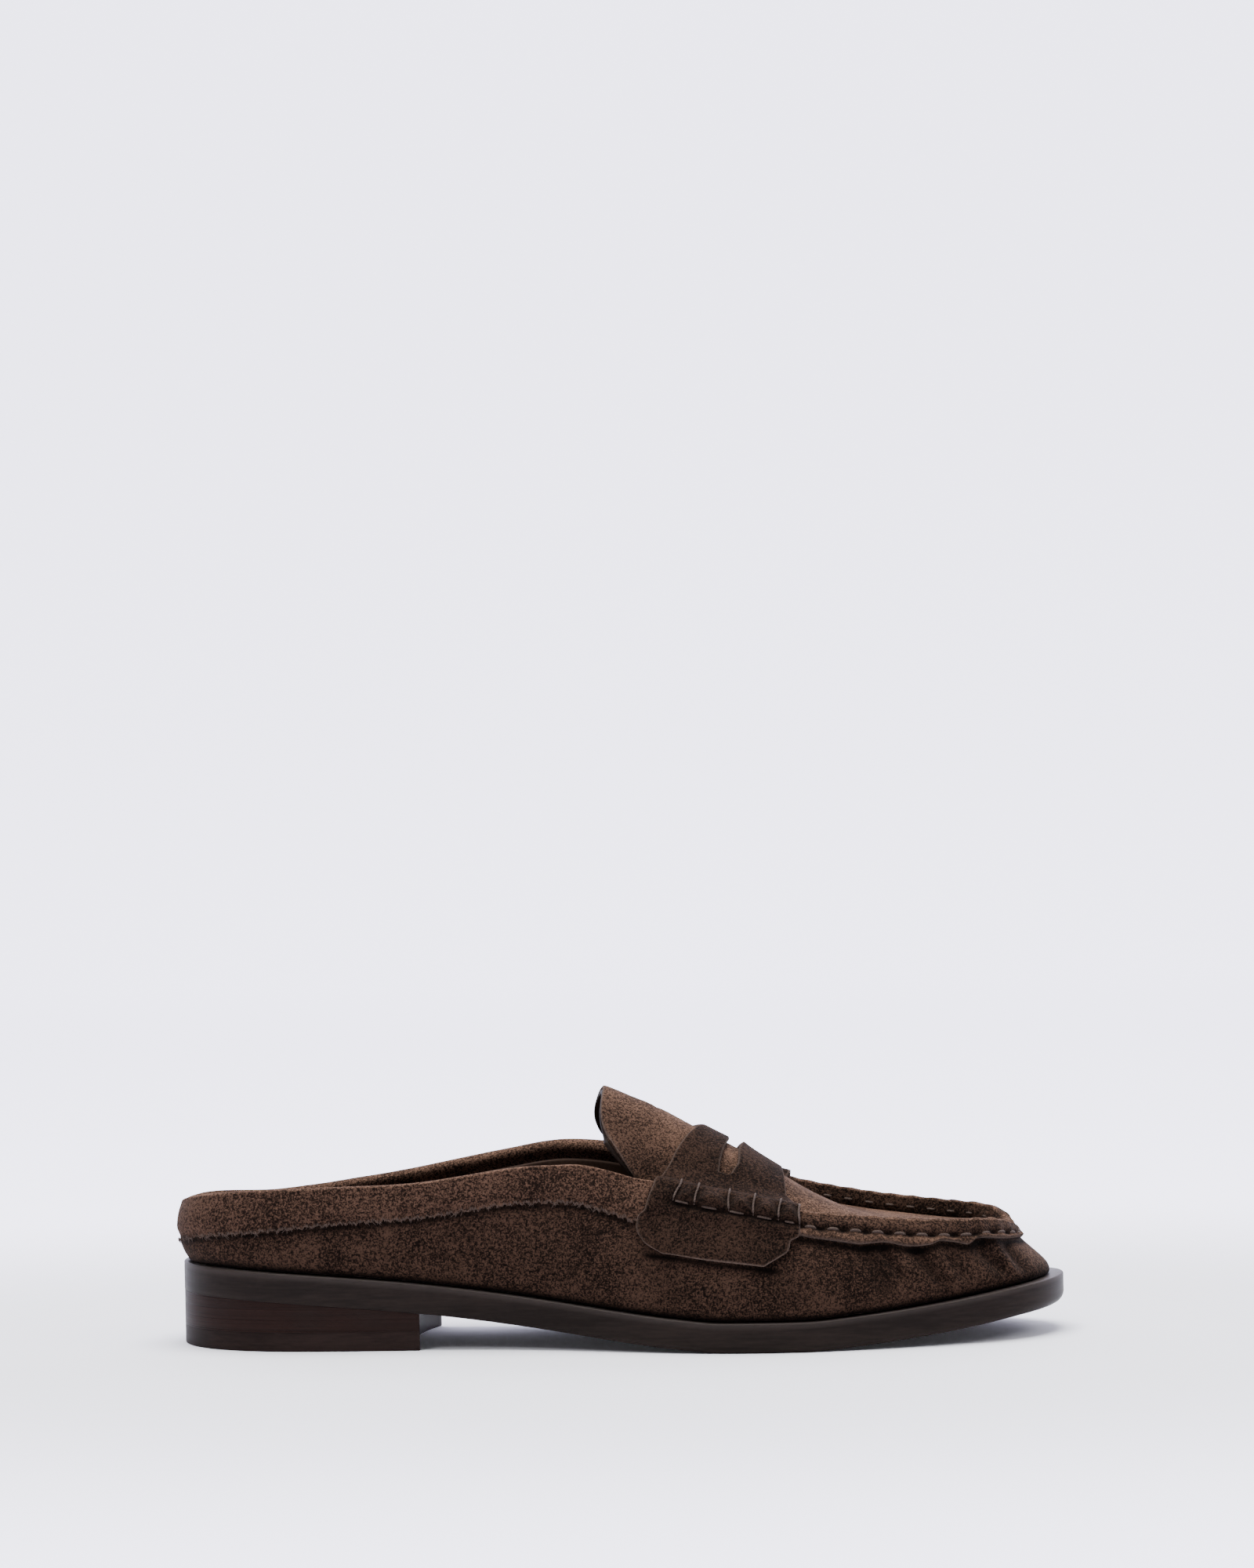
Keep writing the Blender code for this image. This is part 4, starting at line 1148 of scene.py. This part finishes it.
def strap_seat(lip_step):
    """The whole face under the strap, from the outer hem over the apron to the inner hem."""
    lines = {side: flap_lines(side, slot_parts(0), lip_step) for side in (-1, 1)}
    shares = np.linspace(APRON_REACH, 1 - APRON_REACH, APRON_ROWS)
    top = [apron_line(share, slot_parts(share)) for share in shares]
    before = [lines[-1][-1] * (1 - step) + top[0] * step for step in (0.25, 0.5, 0.75)]
    after = [top[-1] * (1 - step) + lines[1][-1] * step for step in (0.25, 0.5, 0.75)]
    return soften(np.stack(lines[-1] + before + top + after + lines[1][::-1]), 4), shares


def soften(grid, times):
    """A grid with its inner rows moved towards the mean of their neighbours."""
    grid = grid.copy()
    for _ in range(times):
        grid[1:-1] += 0.25 * (grid[:-2] + grid[2:] - 2 * grid[1:-1])
    return grid


def loop_place(number, side, depth):
    """How far along the shoe a thread loop lies at a depth under the crest."""
    share = np.clip(depth / ROLL_HEIGHT, 0, 1)
    top, foot = LOOPS[number]
    back = STRAP_SLANT * SOLE_LENGTH * (1 + side) / 2
    return (top + (foot - top) * share) / 1000 + LOOP_HOOK * (1 - share) ** 4 - HEEL_CENTRE - back


def roll_relief(seat, depth, side):
    """The strap's sewn roll over the seam, as shares: how far it swells, its tucked foot, and how pinched
    it is at the thread loops."""
    near = np.full(depth.shape, 1.0)
    for number in range(len(LOOPS)):
        near = np.minimum(near, np.abs(seat[..., 0] - loop_place(number, side, depth)))
    between = 1 - np.exp(-((near / 0.0020) ** 2))
    over = np.clip(1 - depth / ROLL_HEIGHT, 0, 1)
    first = loop_place(0, side, depth)
    here = ramp(seat[..., 0], first - 0.0045, first + 0.0010)
    swell = np.sin(math.pi * over ** 0.7) * (0.25 + 0.75 * between) * here
    foot = bump(depth, ROLL_HEIGHT + 0.0005, 0.0008) * here
    return swell, foot, (1 - between) * np.sin(math.pi * over) * here


def on_lines(sheet, rows, places):
    """Points on lines of a sheet at places along the shoe."""
    points = [[np.interp(place, sheet[row, :, 0], sheet[row, :, k]) for k in range(3)]
              for row, place in zip(rows, places)]
    return np.array(points)


def even_path(points, steps):
    """A path with its points spaced evenly along it."""
    length = run_length(points)
    at = np.linspace(0, length[-1], steps)
    return np.stack([np.interp(at, length, points[:, k]) for k in range(3)], axis=1)


class BuildStrap(bpy.types.Operator):
    """Make the saddle strap with its slot, its cut edges, and the sewn roll and thread loops on each side"""

    bl_idname = "loafer.strap"
    bl_label = "Saddle strap"

    def execute(self, context):
        sizes, colours = settings_of(context)
        seat, shares = strap_seat(sizes.lip_step)
        normal = facing(seat)
        normal *= np.sign(np.sum(normal[..., 2]))
        rear, front = distance_along(seat, 1)
        outer, inner = distance_along(seat, 0)
        crest = FLAP_ROWS - 1
        depths = {-1: outer[crest] - outer, 1: inner[-1 - crest] - inner}
        lift = np.zeros(rear.shape)
        shade = np.zeros(rear.shape)
        for side, depth in depths.items():
            swell, foot, pinch = roll_relief(seat, depth, side)
            over_band = np.clip(1 - np.abs(depth - 0.004) / 0.009, 0, 1) * (1 - ramp(rear, 0.001, 0.008))
            lift += sizes.roll * swell - 0.0007 * foot - 0.0007 * pinch + 0.0010 * over_band
            shade += foot * 0.9 + pinch * 0.75
        low_col, high_col = SLOT_AFTER - 1, SLOT_AFTER + SLOT_BETWEEN
        open_rows = np.flatnonzero(np.abs(2 * shares - 1) < SLOT_END) + FLAP_ROWS + CREST_ROWS + 3
        first, last = open_rows[0], open_rows[-1]
        slot_rear, slot_front = rear[:, low_col:low_col + 1], rear[:, high_col:high_col + 1]
        past_row = np.maximum(outer[first] - outer, outer - outer[last]).clip(0)
        past_col = np.maximum(slot_rear - rear, rear - slot_front).clip(0)
        to_slot = np.hypot(past_row, past_col)
        curl = np.exp(-to_slot / 0.0035) * ramp(rear, slot_front - 0.001, slot_front)
        lift += 0.0009 * curl
        shade += 0.35 * np.exp(-to_slot / 0.0012)
        edge = np.minimum.reduce([rear, front, outer, inner, to_slot])
        full = edge_round(edge, 0.0006)
        middle = seat + normal * (STRAP_GAP + sizes.strap / 2 + lift)[..., None]
        top = middle + normal * (sizes.strap / 2 * full)[..., None]
        low = middle - normal * (sizes.strap / 2 * full)[..., None]
        raw = np.clip(1.3 - edge / 0.00046, 0, 1)
        marks = {"raw": np.concatenate([raw, raw[::-1]]), "shade": np.concatenate([shade, shade[::-1] * 0])}
        add_strap(np.concatenate([top, low[::-1]]), marks, (first, last), (low_col, high_col), colours)

        skin = top + normal * sizes.thread * 0.3
        paths = []
        for side, depth in depths.items():
            count = len(seat)
            rows = np.arange(FLAP_ROWS + CREST_ROWS - 2, -1, -1)
            rows = rows if side < 0 else count - 1 - rows
            middle_depth = depth[:, depth.shape[1] // 2]
            rows = rows[middle_depth[rows] < ROLL_HEIGHT + 0.0002]
            for number in range(len(LOOPS)):
                points = on_lines(skin, rows, loop_place(number, side, middle_depth[rows]))
                points[0] -= normal[rows[0], STRAP_MIDDLE] * 0.0012
                points[-1] -= normal[rows[-1], STRAP_MIDDLE] * 0.0008
                paths.append(even_path(points, PATH_STEPS))
            foot_row = rows[-1]
            back = STRAP_SLANT * SOLE_LENGTH * (1 + side) / 2 + HEEL_CENTRE
            for start, end in FOOT_DASHES:
                places = np.linspace(start, end, PATH_STEPS) / 1000 - back
                points = on_lines(skin, np.full(PATH_STEPS, foot_row), places)
                points[[0, -1]] -= normal[foot_row, STRAP_MIDDLE] * 0.0009
                paths.append(points)
        finish = finish_named("waxed_thread", thread_finish, tuple(colours.thread))
        threads("strap_threads", np.stack(paths), sizes.thread * 0.32, finish)
        return {"FINISHED"}


def add_strap(rows, marks, slot_rows, slot_columns, colours):
    """The strap's mesh: both skins without the faces over the slot, and a strip round the slot."""
    count, columns = rows.shape[:2]
    places = rows.reshape(-1, 3)
    quads = face_out(places, loop_faces(count, columns, False))
    row, col = quads // columns, quads % columns
    over = (col.min(1) >= slot_columns[0]) & (col.max(1) <= slot_columns[1])
    top_hole = over & (row.min(1) >= slot_rows[0]) & (row.max(1) <= slot_rows[1])
    low_hole = over & (row.min(1) >= count - 1 - slot_rows[1]) & (row.max(1) <= count - 1 - slot_rows[0])
    hole = quads[top_hole]
    runs = np.concatenate([hole[:, [k, (k + 1) % 4]] for k in range(4)])
    known = {tuple(run) for run in runs.tolist()}
    edges = np.array([run for run in runs.tolist() if (run[1], run[0]) not in known])
    partner = (count - 1 - edges // columns) * columns + edges % columns
    strips = np.column_stack([edges[:, 0], edges[:, 1], partner[:, 1], partner[:, 0]])
    used, quads = np.unique(np.concatenate([quads[~(top_hole | low_hole)], strips]), return_inverse=True)
    marks = {name: values.ravel()[used] for name, values in marks.items()}
    suede = finish_named("dark_suede_nap", suede_finish, colours, 0.62, 0.06)
    add_mesh("saddle_strap_suede", places[used], quads.reshape(-1, 4), suede, marks,
             ("saddle_strap",))


class BuildBand(bpy.types.Operator):
    """Make the binding folded over the collar's rim, with its frayed lower edge"""

    bl_idname = "loafer.band"
    bl_label = "Collar band"

    def execute(self, context):
        sizes, colours = settings_of(context)
        ends = {side: station(0.575 - STRAP_SLANT * (1 + side) / 2) for side in (-1, 1)}
        around = np.linspace(-ends[1], ends[-1], SEAM_COLUMNS)
        along = along_at(around)
        side = np.where(around < 0, 1, -1)
        reach = along + STRAP_SLANT * (1 + side) / 2
        deep = eased(along, BAND_PLACES, BAND_DEPTHS)
        length = run_length(rim_line(around)) * 1000
        fray = 0.00030 * np.sin(length * 1.9) + 0.00022 * np.sin(length * 4.3 + 1)
        fray += 0.00012 * np.sin(length * 9.7)
        fray -= 0.0005 * np.clip(np.sin(length * 0.83 + 2) - 0.6, 0, 1)
        rows, raw, shade, add = row_lists(around)

        def thick(level):
            """The band's thickness, thinned where the strap lies over it."""
            edge = strap_line(-1, "rear", level)
            return 0.0003 + sizes.band * (1 - 0.85 * ramp(reach, edge - 0.002, edge + 0.016))

        shares = np.concatenate([[1.0, 1.0], np.linspace(0.985, 0.0, 30)])
        for number, share in enumerate(shares):
            depth = deep * share - fray * ramp(share, 0.7, 1.0)
            rise = rise_below(around, depth)
            full = (0.15, 0.7)[number] if number < 2 else 1.0
            thinned = 1 - (0.45 + 0.35 * bump(along, 0.0, 0.04)) * ramp(share, 0.6, 1.0)
            off = thick(4 - 2 * share) * full * thinned + 0.0003 * math.sin(math.pi * share)
            add(off_wall(around, rise, off), 0.6 * ramp(share, 0.93, 0.985))
        out = wall_facing(around, 1.0)
        rim = wall(around, 1.0)
        centre = rim - out * WALL / 2
        radius = thick(4.0) + WALL / 2
        for angle in np.linspace(0, 1, 14)[1:] * math.pi:
            swell = UP * ((thick(4.0) + 0.0001) * math.sin(angle))[:, None]
            add(centre + out * (radius * math.cos(angle))[:, None] + swell)
        for depth in (0.001, 0.002, 0.003, 0.0038, 0.0042):
            off = -(WALL + thick(4.0) * (1.0 - 0.5 * ramp(depth, 0.001, 0.003)))
            add(off_wall(around, rise_below(around, depth), off), 0.0, depth / 0.0042 * 0.2)
        for depth in (0.0042, 0.002):
            add(off_wall(around, rise_below(around, depth), -(WALL + 0.0001)), 0.0, 1.0)
        add(centre + UP * 0.0001)
        for share in (0.3, 0.7):
            add(off_wall(around, rise_below(around, deep * share), 0.0001))
        marks = {"raw": np.stack(raw), "shade": np.stack(shade)}
        suede = finish_named("collar_suede_nap", suede_finish, colours, 1.55, 0.6)
        add_loop("collar_binding", even_rows(rows), suede, False,
                 {name: even_rows(values) for name, values in marks.items()}, ("collar_band",))
        self.add_fibres(sizes, colours, around, deep - fray)
        return {"FINISHED"}

    def add_fibres(self, sizes, colours, around, deep):
        """Short loose fibres that droop from the band's cut lower edge."""
        chance = np.random.default_rng(7)
        count = FIBRE_COUNT
        seen = around[(around > -0.45) & (around < station(0.53))]
        at = chance.uniform(seen[0], seen[-1], count)
        length = chance.gamma(2.0, 0.00026, count).clip(0.0002, 0.0014)
        lean = chance.normal(0, 0.7, count)
        share = np.linspace(0, 1, 6)
        start = np.interp(at, around, deep) - 0.0006
        depth = start[:, None] + length[:, None] * share + 0.0003 * share
        turn = at[:, None] + (lean[:, None] * length[:, None] * share ** 1.5) / 0.30
        rise = rise_below(turn, depth)
        sway = 0.0003 * chance.uniform(-1, 1, count)[:, None] * share
        off = sizes.band + 0.0004 + sway - 0.0006 * share ** 2
        paths = off_wall(turn, rise, off)
        fibre = plain_finish("suede_fibre", tuple(colours.fibre), 0.9)
        threads("band_fibres", paths, FIBRE_RADIUS, fibre.material)


def even_rows(rows):
    """Rows as one array with an even number of them, one added between the last and the first if need be."""
    rows = list(rows)
    if len(rows) % 2:
        rows.append((rows[-1] + rows[0]) / 2)
    return np.stack(rows)


def heel_plan(count):
    """The heel's outline: the sole's own round the back, then a front face hollowed by a parabola."""
    corner = station(HEEL_LENGTH / SOLE_LENGTH)
    back = np.linspace(-corner, corner, count)
    edge = outline(back, HEEL_ROUND)
    share = np.linspace(0, 1, 40)[1:-1, None]
    breast = edge[-1] * (1 - share) + edge[0] * share
    breast[:, :1] -= BREAST_HOLLOW * 4 * share * (1 - share)
    return np.concatenate([edge, breast])


def slab(plan_line, low, high, low_round, high_round, inward):
    """A flat piece's side with quarter-round edges: rows from its underside's middle round to its top's."""
    centre = plan_line.mean(axis=0)
    rows = []
    for share in (0.02, 0.5, 0.9):
        flat = centre + (plan_line - inward * low_round - centre) * share
        rows.append(np.column_stack([flat, low(flat[:, 0])]))
    for angle in np.linspace(0, 1, 6) * math.pi / 2:
        flat = plan_line - inward * low_round * (1 - math.sin(angle))
        rows.append(np.column_stack([flat, low(flat[:, 0]) + low_round[:, 0] * (1 - math.cos(angle))]))
    foot = low(plan_line[:, 0]) + low_round[:, 0]
    head = high(plan_line[:, 0]) - high_round[:, 0]
    for share in (0.2, 0.4, 0.6, 0.8):
        rows.append(np.column_stack([plan_line, foot + (head - foot) * share]))
    for angle in np.linspace(1, 0, 6) * math.pi / 2:
        flat = plan_line - inward * high_round * (1 - math.sin(angle))
        rows.append(np.column_stack([flat, high(flat[:, 0]) - high_round[:, 0] * (1 - math.cos(angle))]))
    for share in (0.9, 0.5, 0.02):
        flat = centre + (plan_line - inward * high_round - centre) * share
        rows.append(np.column_stack([flat, high(flat[:, 0])]))
    return np.stack(rows)


class BuildSole(bpy.types.Operator):
    """Make the leather sole with its dressed edge, the stacked heel and the top lift"""

    bl_idname = "loafer.sole"
    bl_label = "Sole and heel"

    def execute(self, context):
        colours = context.scene.loafer_colours
        around = np.linspace(0, 2, SOLE_COLUMNS, endpoint=False)
        line = outline(around)
        along = along_at(around)
        over_heel = 1 - ramp(along, HEEL_LENGTH / SOLE_LENGTH, HEEL_LENGTH / SOLE_LENGTH + 0.02)
        low_round = SOLE_ROUND_LOW - SOLE_ROUND_HEEL * over_heel + SOLE_ROUND_TOE * ramp(along, 0.88, 1)
        high_round = np.full((SOLE_COLUMNS, 1), SOLE_ROUND_TOP)
        rows = slab(line, sole_bottom, sole_top, low_round[:, None], high_round, outward_of(around))
        leather = finish_named(
            "sole_edge", smooth_leather, tuple(colours.sole), 0.42, (0.25, 0.25, 2.5), 500, 0.00006, 0.01)
        # Painted highlight on the sole's rounded top edge
        glow = np.zeros(rows.shape[:2])
        glow[13:19] = 0.5
        add_loop("leather_sole", rows, leather, True, {"glow": glow}, ("outsole",))

        line = heel_plan(HEEL_COLUMNS)
        inward = np.gradient(np.concatenate([line[-1:], line, line[:1]]), axis=0)[1:-1]
        inward = np.column_stack([inward[:, 1], -inward[:, 0]])
        inward /= np.linalg.norm(inward, axis=1, keepdims=True)
        edge = np.full((len(line), 1), HEEL_ROUND)
        stack = slab(
            line, lambda x: np.full_like(x, LIFT_THICKNESS + HEEL_GAP), lambda x: sole_bottom(x) - HEEL_GAP,
            edge, edge, inward)
        stacked = finish_named(
            "stacked_heel_leather", stacked_finish, tuple(colours.heel), tuple(colours.sole))
        add_loop("stacked_heel", stack, stacked, True, {}, ("heel_stack",))
        lift = slab(
            line, lambda x: np.zeros_like(x), lambda x: np.full_like(x, LIFT_THICKNESS),
            edge * 8, edge, inward)
        rubber = finish_named(
            "top_lift_rubber", smooth_leather, tuple(colours.lift), 0.5, (0.3, 0.3, 2), 700, 0.00005)
        add_loop("heel_lift", lift, rubber, True, {}, ("top_lift",))
        return {"FINISHED"}


def threads(name, paths, radius, finish):
    """Round threads along many like paths in one mesh: rings of eight points round each path's own
    frame, closed at both ends by small flat faces."""
    count, steps = paths.shape[:2]
    run = np.gradient(paths, axis=1)
    run /= np.maximum(np.linalg.norm(run, axis=-1, keepdims=True), 1e-12)
    side = np.cross(run, UP)
    side /= np.maximum(np.linalg.norm(side, axis=-1, keepdims=True), 1e-9)
    other = np.cross(side, run)
    angle = np.arange(8) * math.pi / 4
    share = np.linspace(0, 1, steps)
    slim = np.sqrt(np.clip(1 - (2 * share - 1) ** 6, 0.1, 1))[None, :, None, None]
    ring = side[:, :, None] * np.cos(angle)[:, None] + other[:, :, None] * np.sin(angle)[:, None]
    places = paths[:, :, None] + ring * radius * slim
    index = np.arange(count * steps * 8).reshape(count, steps, 8)
    turn = np.roll(index, -1, axis=2)
    quads = np.stack([index[:, :-1], index[:, 1:], turn[:, 1:], turn[:, :-1]], axis=-1).reshape(-1, 4)
    caps = []
    for end, order in ((index[:, 0], (0, 1, 2, 3)), (index[:, -1], (3, 2, 1, 0))):
        for a, b, c, d in ((0, 1, 2, 7), (2, 3, 6, 7), (3, 4, 5, 6)):
            quad = end[:, [a, b, c, d]]
            caps.append(quad[:, list(order)])
    quads = face_out(places.reshape(-1, 3), np.concatenate([quads] + caps))
    length = np.linalg.norm(np.diff(paths, axis=1), axis=-1).sum(axis=1)
    uv = np.zeros((count, steps, 8, 2))
    uv[..., 0] = share[None, :, None] * (length / 0.0016)[:, None, None]
    uv[..., 1] = angle / (2 * math.pi)
    return add_mesh(name, places.reshape(-1, 3), quads, finish, {}, (), uv.reshape(-1, 2))


class BuildStitches(bpy.types.Operator):
    """Make the seam's stitches on both faces of the raised seam"""

    bl_idname = "loafer.stitches"
    bl_label = "Seam stitches"

    def execute(self, context):
        sizes, colours = settings_of(context)
        around = front_run(4000, station(0.700))
        length = run_length(rim_line(around))
        middles = np.arange(sizes.stitch_pitch, length[-1] - sizes.stitch_pitch / 2, sizes.stitch_pitch)
        share = np.linspace(-0.5, 0.5, 11)
        at = np.interp(middles[:, None] + share * sizes.stitch_pitch * STITCH_SHARE, length, around)
        bend = 1 - 4 * share ** 2
        rise = rise_below(at, STITCH_DEPTH - 0.0001 * bend)
        off = sizes.lip_step - 0.0004 + 0.0003 * bend - 0.0008 * (2 * share) ** 6
        outer = off_wall(at, rise, off)
        inside = CREST_WIDTH / 2 + 0.0002 + 0.0008 * bend
        inner = rim_line(at) - level_out(at) * inside[..., None] - UP * INNER_STITCH_DEPTH
        finish = finish_named("waxed_thread", thread_finish, tuple(colours.thread))
        threads("seam_stitches", np.concatenate([outer, inner]), sizes.thread * 0.42, finish)
        return {"FINISHED"}


class BuildStage(bpy.types.Operator):
    """Make the pale floor and wall, the soft lights and the camera"""

    bl_idname = "loafer.stage"
    bl_label = "Stage"

    def execute(self, context):
        colours = context.scene.loafer_colours
        finish = plain_finish("pale_stage", tuple(colours.floor), 0.9)
        away = finish.node("ShaderNodeMapping", {}, {
            "Vector": finish.coordinates, "Location": (-0.1 / 0.24, 0, 0), "Scale": (1 / 0.24, 1 / 0.16, 0)})
        away = finish.node("ShaderNodeVectorMath", {"operation": "LENGTH"}, {"Vector": away}, "Value")
        floor_glow = finish.blend(away.between(0.8, 2.6), NEAR_GLOW, FLOOR_GLOW)
        finish.feed("Emission Color", finish.blend(finish.mark("far"), floor_glow, WALL_GLOW))
        finish.shader.inputs["Emission Strength"].default_value = 1.0
        finish.shader.inputs["Specular IOR Level"].default_value = 0.0
        turn = np.linspace(0, math.pi / 2, 24)
        flat = np.column_stack([[-6.0, -0.6, -0.1, 0.15, 0.4, 0.8, 1.4], np.zeros(7)])
        curve = np.column_stack([2.2 + 1.6 * np.sin(turn), 1.6 * (1 - np.cos(turn))])
        profile = np.concatenate([flat, curve, [[3.8, 6.0]]])
        wide = np.array([-8.0, 8.0])
        shape = (len(profile), 2)
        grid = np.stack([
            np.broadcast_to(wide, shape),
            np.broadcast_to(profile[:, :1], shape),
            np.broadcast_to(profile[:, 1:], shape),
        ], axis=-1)
        index = np.arange(grid[..., 0].size).reshape(shape)
        quads = grid_quads(index)
        mesh = bpy.data.meshes.new("pale_stage")
        mesh.from_pydata(grid.reshape(-1, 3).tolist(), [], quads.tolist())
        far = ramp(profile[:, 0] + profile[:, 1], WALL_STARTS, WALL_ENDS)
        layer = mesh.attributes.new("far", "FLOAT", "POINT")
        layer.data.foreach_set("value", np.repeat(far, 2).astype(np.float32))
        mesh.shade_smooth()
        mesh.materials.append(finish.material)
        floor = bpy.data.objects.new("pale_stage", mesh)
        context.scene.collection.objects.link(floor)
        for name, place, size, power in LIGHTS:
            self.add_light(name, place, size, power)
        world = context.scene.world or bpy.data.worlds.new("studio")
        context.scene.world = world
        world.use_nodes = True
        world.node_tree.nodes["Background"].inputs["Color"].default_value = (0.80, 0.80, 0.86, 1)
        world.node_tree.nodes["Background"].inputs["Strength"].default_value = WORLD_STRENGTH
        self.add_camera(context)
        return {"FINISHED"}

    def add_light(self, name, place, size, power):
        """A round soft light that looks at the shoe."""
        light = bpy.data.lights.new(name, "AREA")
        light.energy = power
        light.shape = "DISK"
        light.size = size
        lamp = bpy.data.objects.new(name, light)
        lamp.matrix_world = looking(place, SHOE_MIDDLE)
        bpy.context.scene.collection.objects.link(lamp)

    def add_camera(self, context):
        """A level camera, turned four degrees towards the heel and rolled slightly."""
        turn, roll = math.radians(CAMERA_TURN), math.radians(CAMERA_ROLL)
        level = np.array([math.cos(turn), math.sin(turn), 0])
        forward = np.array([-math.sin(turn), math.cos(turn), 0])
        right = math.cos(roll) * level + math.sin(roll) * UP
        up = -math.sin(roll) * level + math.cos(roll) * UP
        middle = np.array([SOLE_LENGTH / 2 - HEEL_CENTRE, 0, 0])
        place = middle + CAMERA_ASIDE * level - CAMERA_DISTANCE * forward + CAMERA_HEIGHT * UP
        lens = bpy.data.cameras.new("photo_camera")
        lens.sensor_fit = "VERTICAL"
        lens.sensor_height = 36
        lens.lens = CAMERA_LENS
        camera = bpy.data.objects.new("photo_camera", lens)
        camera.matrix_world = placed(right, up, -forward, place)
        context.scene.collection.objects.link(camera)
        context.scene.camera = camera


def placed(right, up, back, place):
    """A matrix from an object's three directions and its place."""
    matrix = np.eye(4)
    matrix[:3] = np.stack([right, up, back, place], axis=1)
    return Matrix(matrix.tolist())


def looking(place, target):
    """The matrix of a lamp at a place that looks at a target."""
    place, target = np.array(place, float), np.array(target, float)
    back = (place - target) / np.linalg.norm(place - target)
    right = np.cross(UP, back)
    right /= np.linalg.norm(right)
    return placed(right, np.cross(back, right), back, place)


PIECES = (
    BuildSole, BuildWall, BuildLining, BuildSeam, BuildApron, BuildStrap, BuildBand, BuildStitches,
    BuildStage,
)


class LoaferPanel(bpy.types.Panel):
    """Lists the loafer's pieces, sizes and colours"""

    bl_idname = "VIEW3D_PT_loafer"
    bl_label = "Loafer mule"
    bl_space_type = "VIEW_3D"
    bl_region_type = "UI"
    bl_category = "Loafer"

    def draw(self, context):
        for piece in PIECES:
            self.layout.operator(piece.bl_idname)
        for group in (context.scene.loafer_sizes, context.scene.loafer_colours):
            for name in group.bl_rna.properties.keys():
                if name not in ("rna_type", "name"):
                    self.layout.prop(group, name)


CLASSES = (LoaferSizes, LoaferColours, *PIECES, LoaferPanel)


def register():
    for each in CLASSES:
        bpy.utils.register_class(each)
    bpy.types.Scene.loafer_sizes = bpy.props.PointerProperty(type=LoaferSizes)
    bpy.types.Scene.loafer_colours = bpy.props.PointerProperty(type=LoaferColours)


def unregister():
    del bpy.types.Scene.loafer_colours
    del bpy.types.Scene.loafer_sizes
    for each in reversed(CLASSES):
        bpy.utils.unregister_class(each)


def main():
    register()
    bpy.ops.loafer.sole()
    bpy.ops.loafer.wall()
    bpy.ops.loafer.lining()
    bpy.ops.loafer.seam()
    bpy.ops.loafer.apron()
    bpy.ops.loafer.strap()
    bpy.ops.loafer.band()
    bpy.ops.loafer.stitches()
    bpy.ops.loafer.stage()


if __name__ == "__main__":
    main()
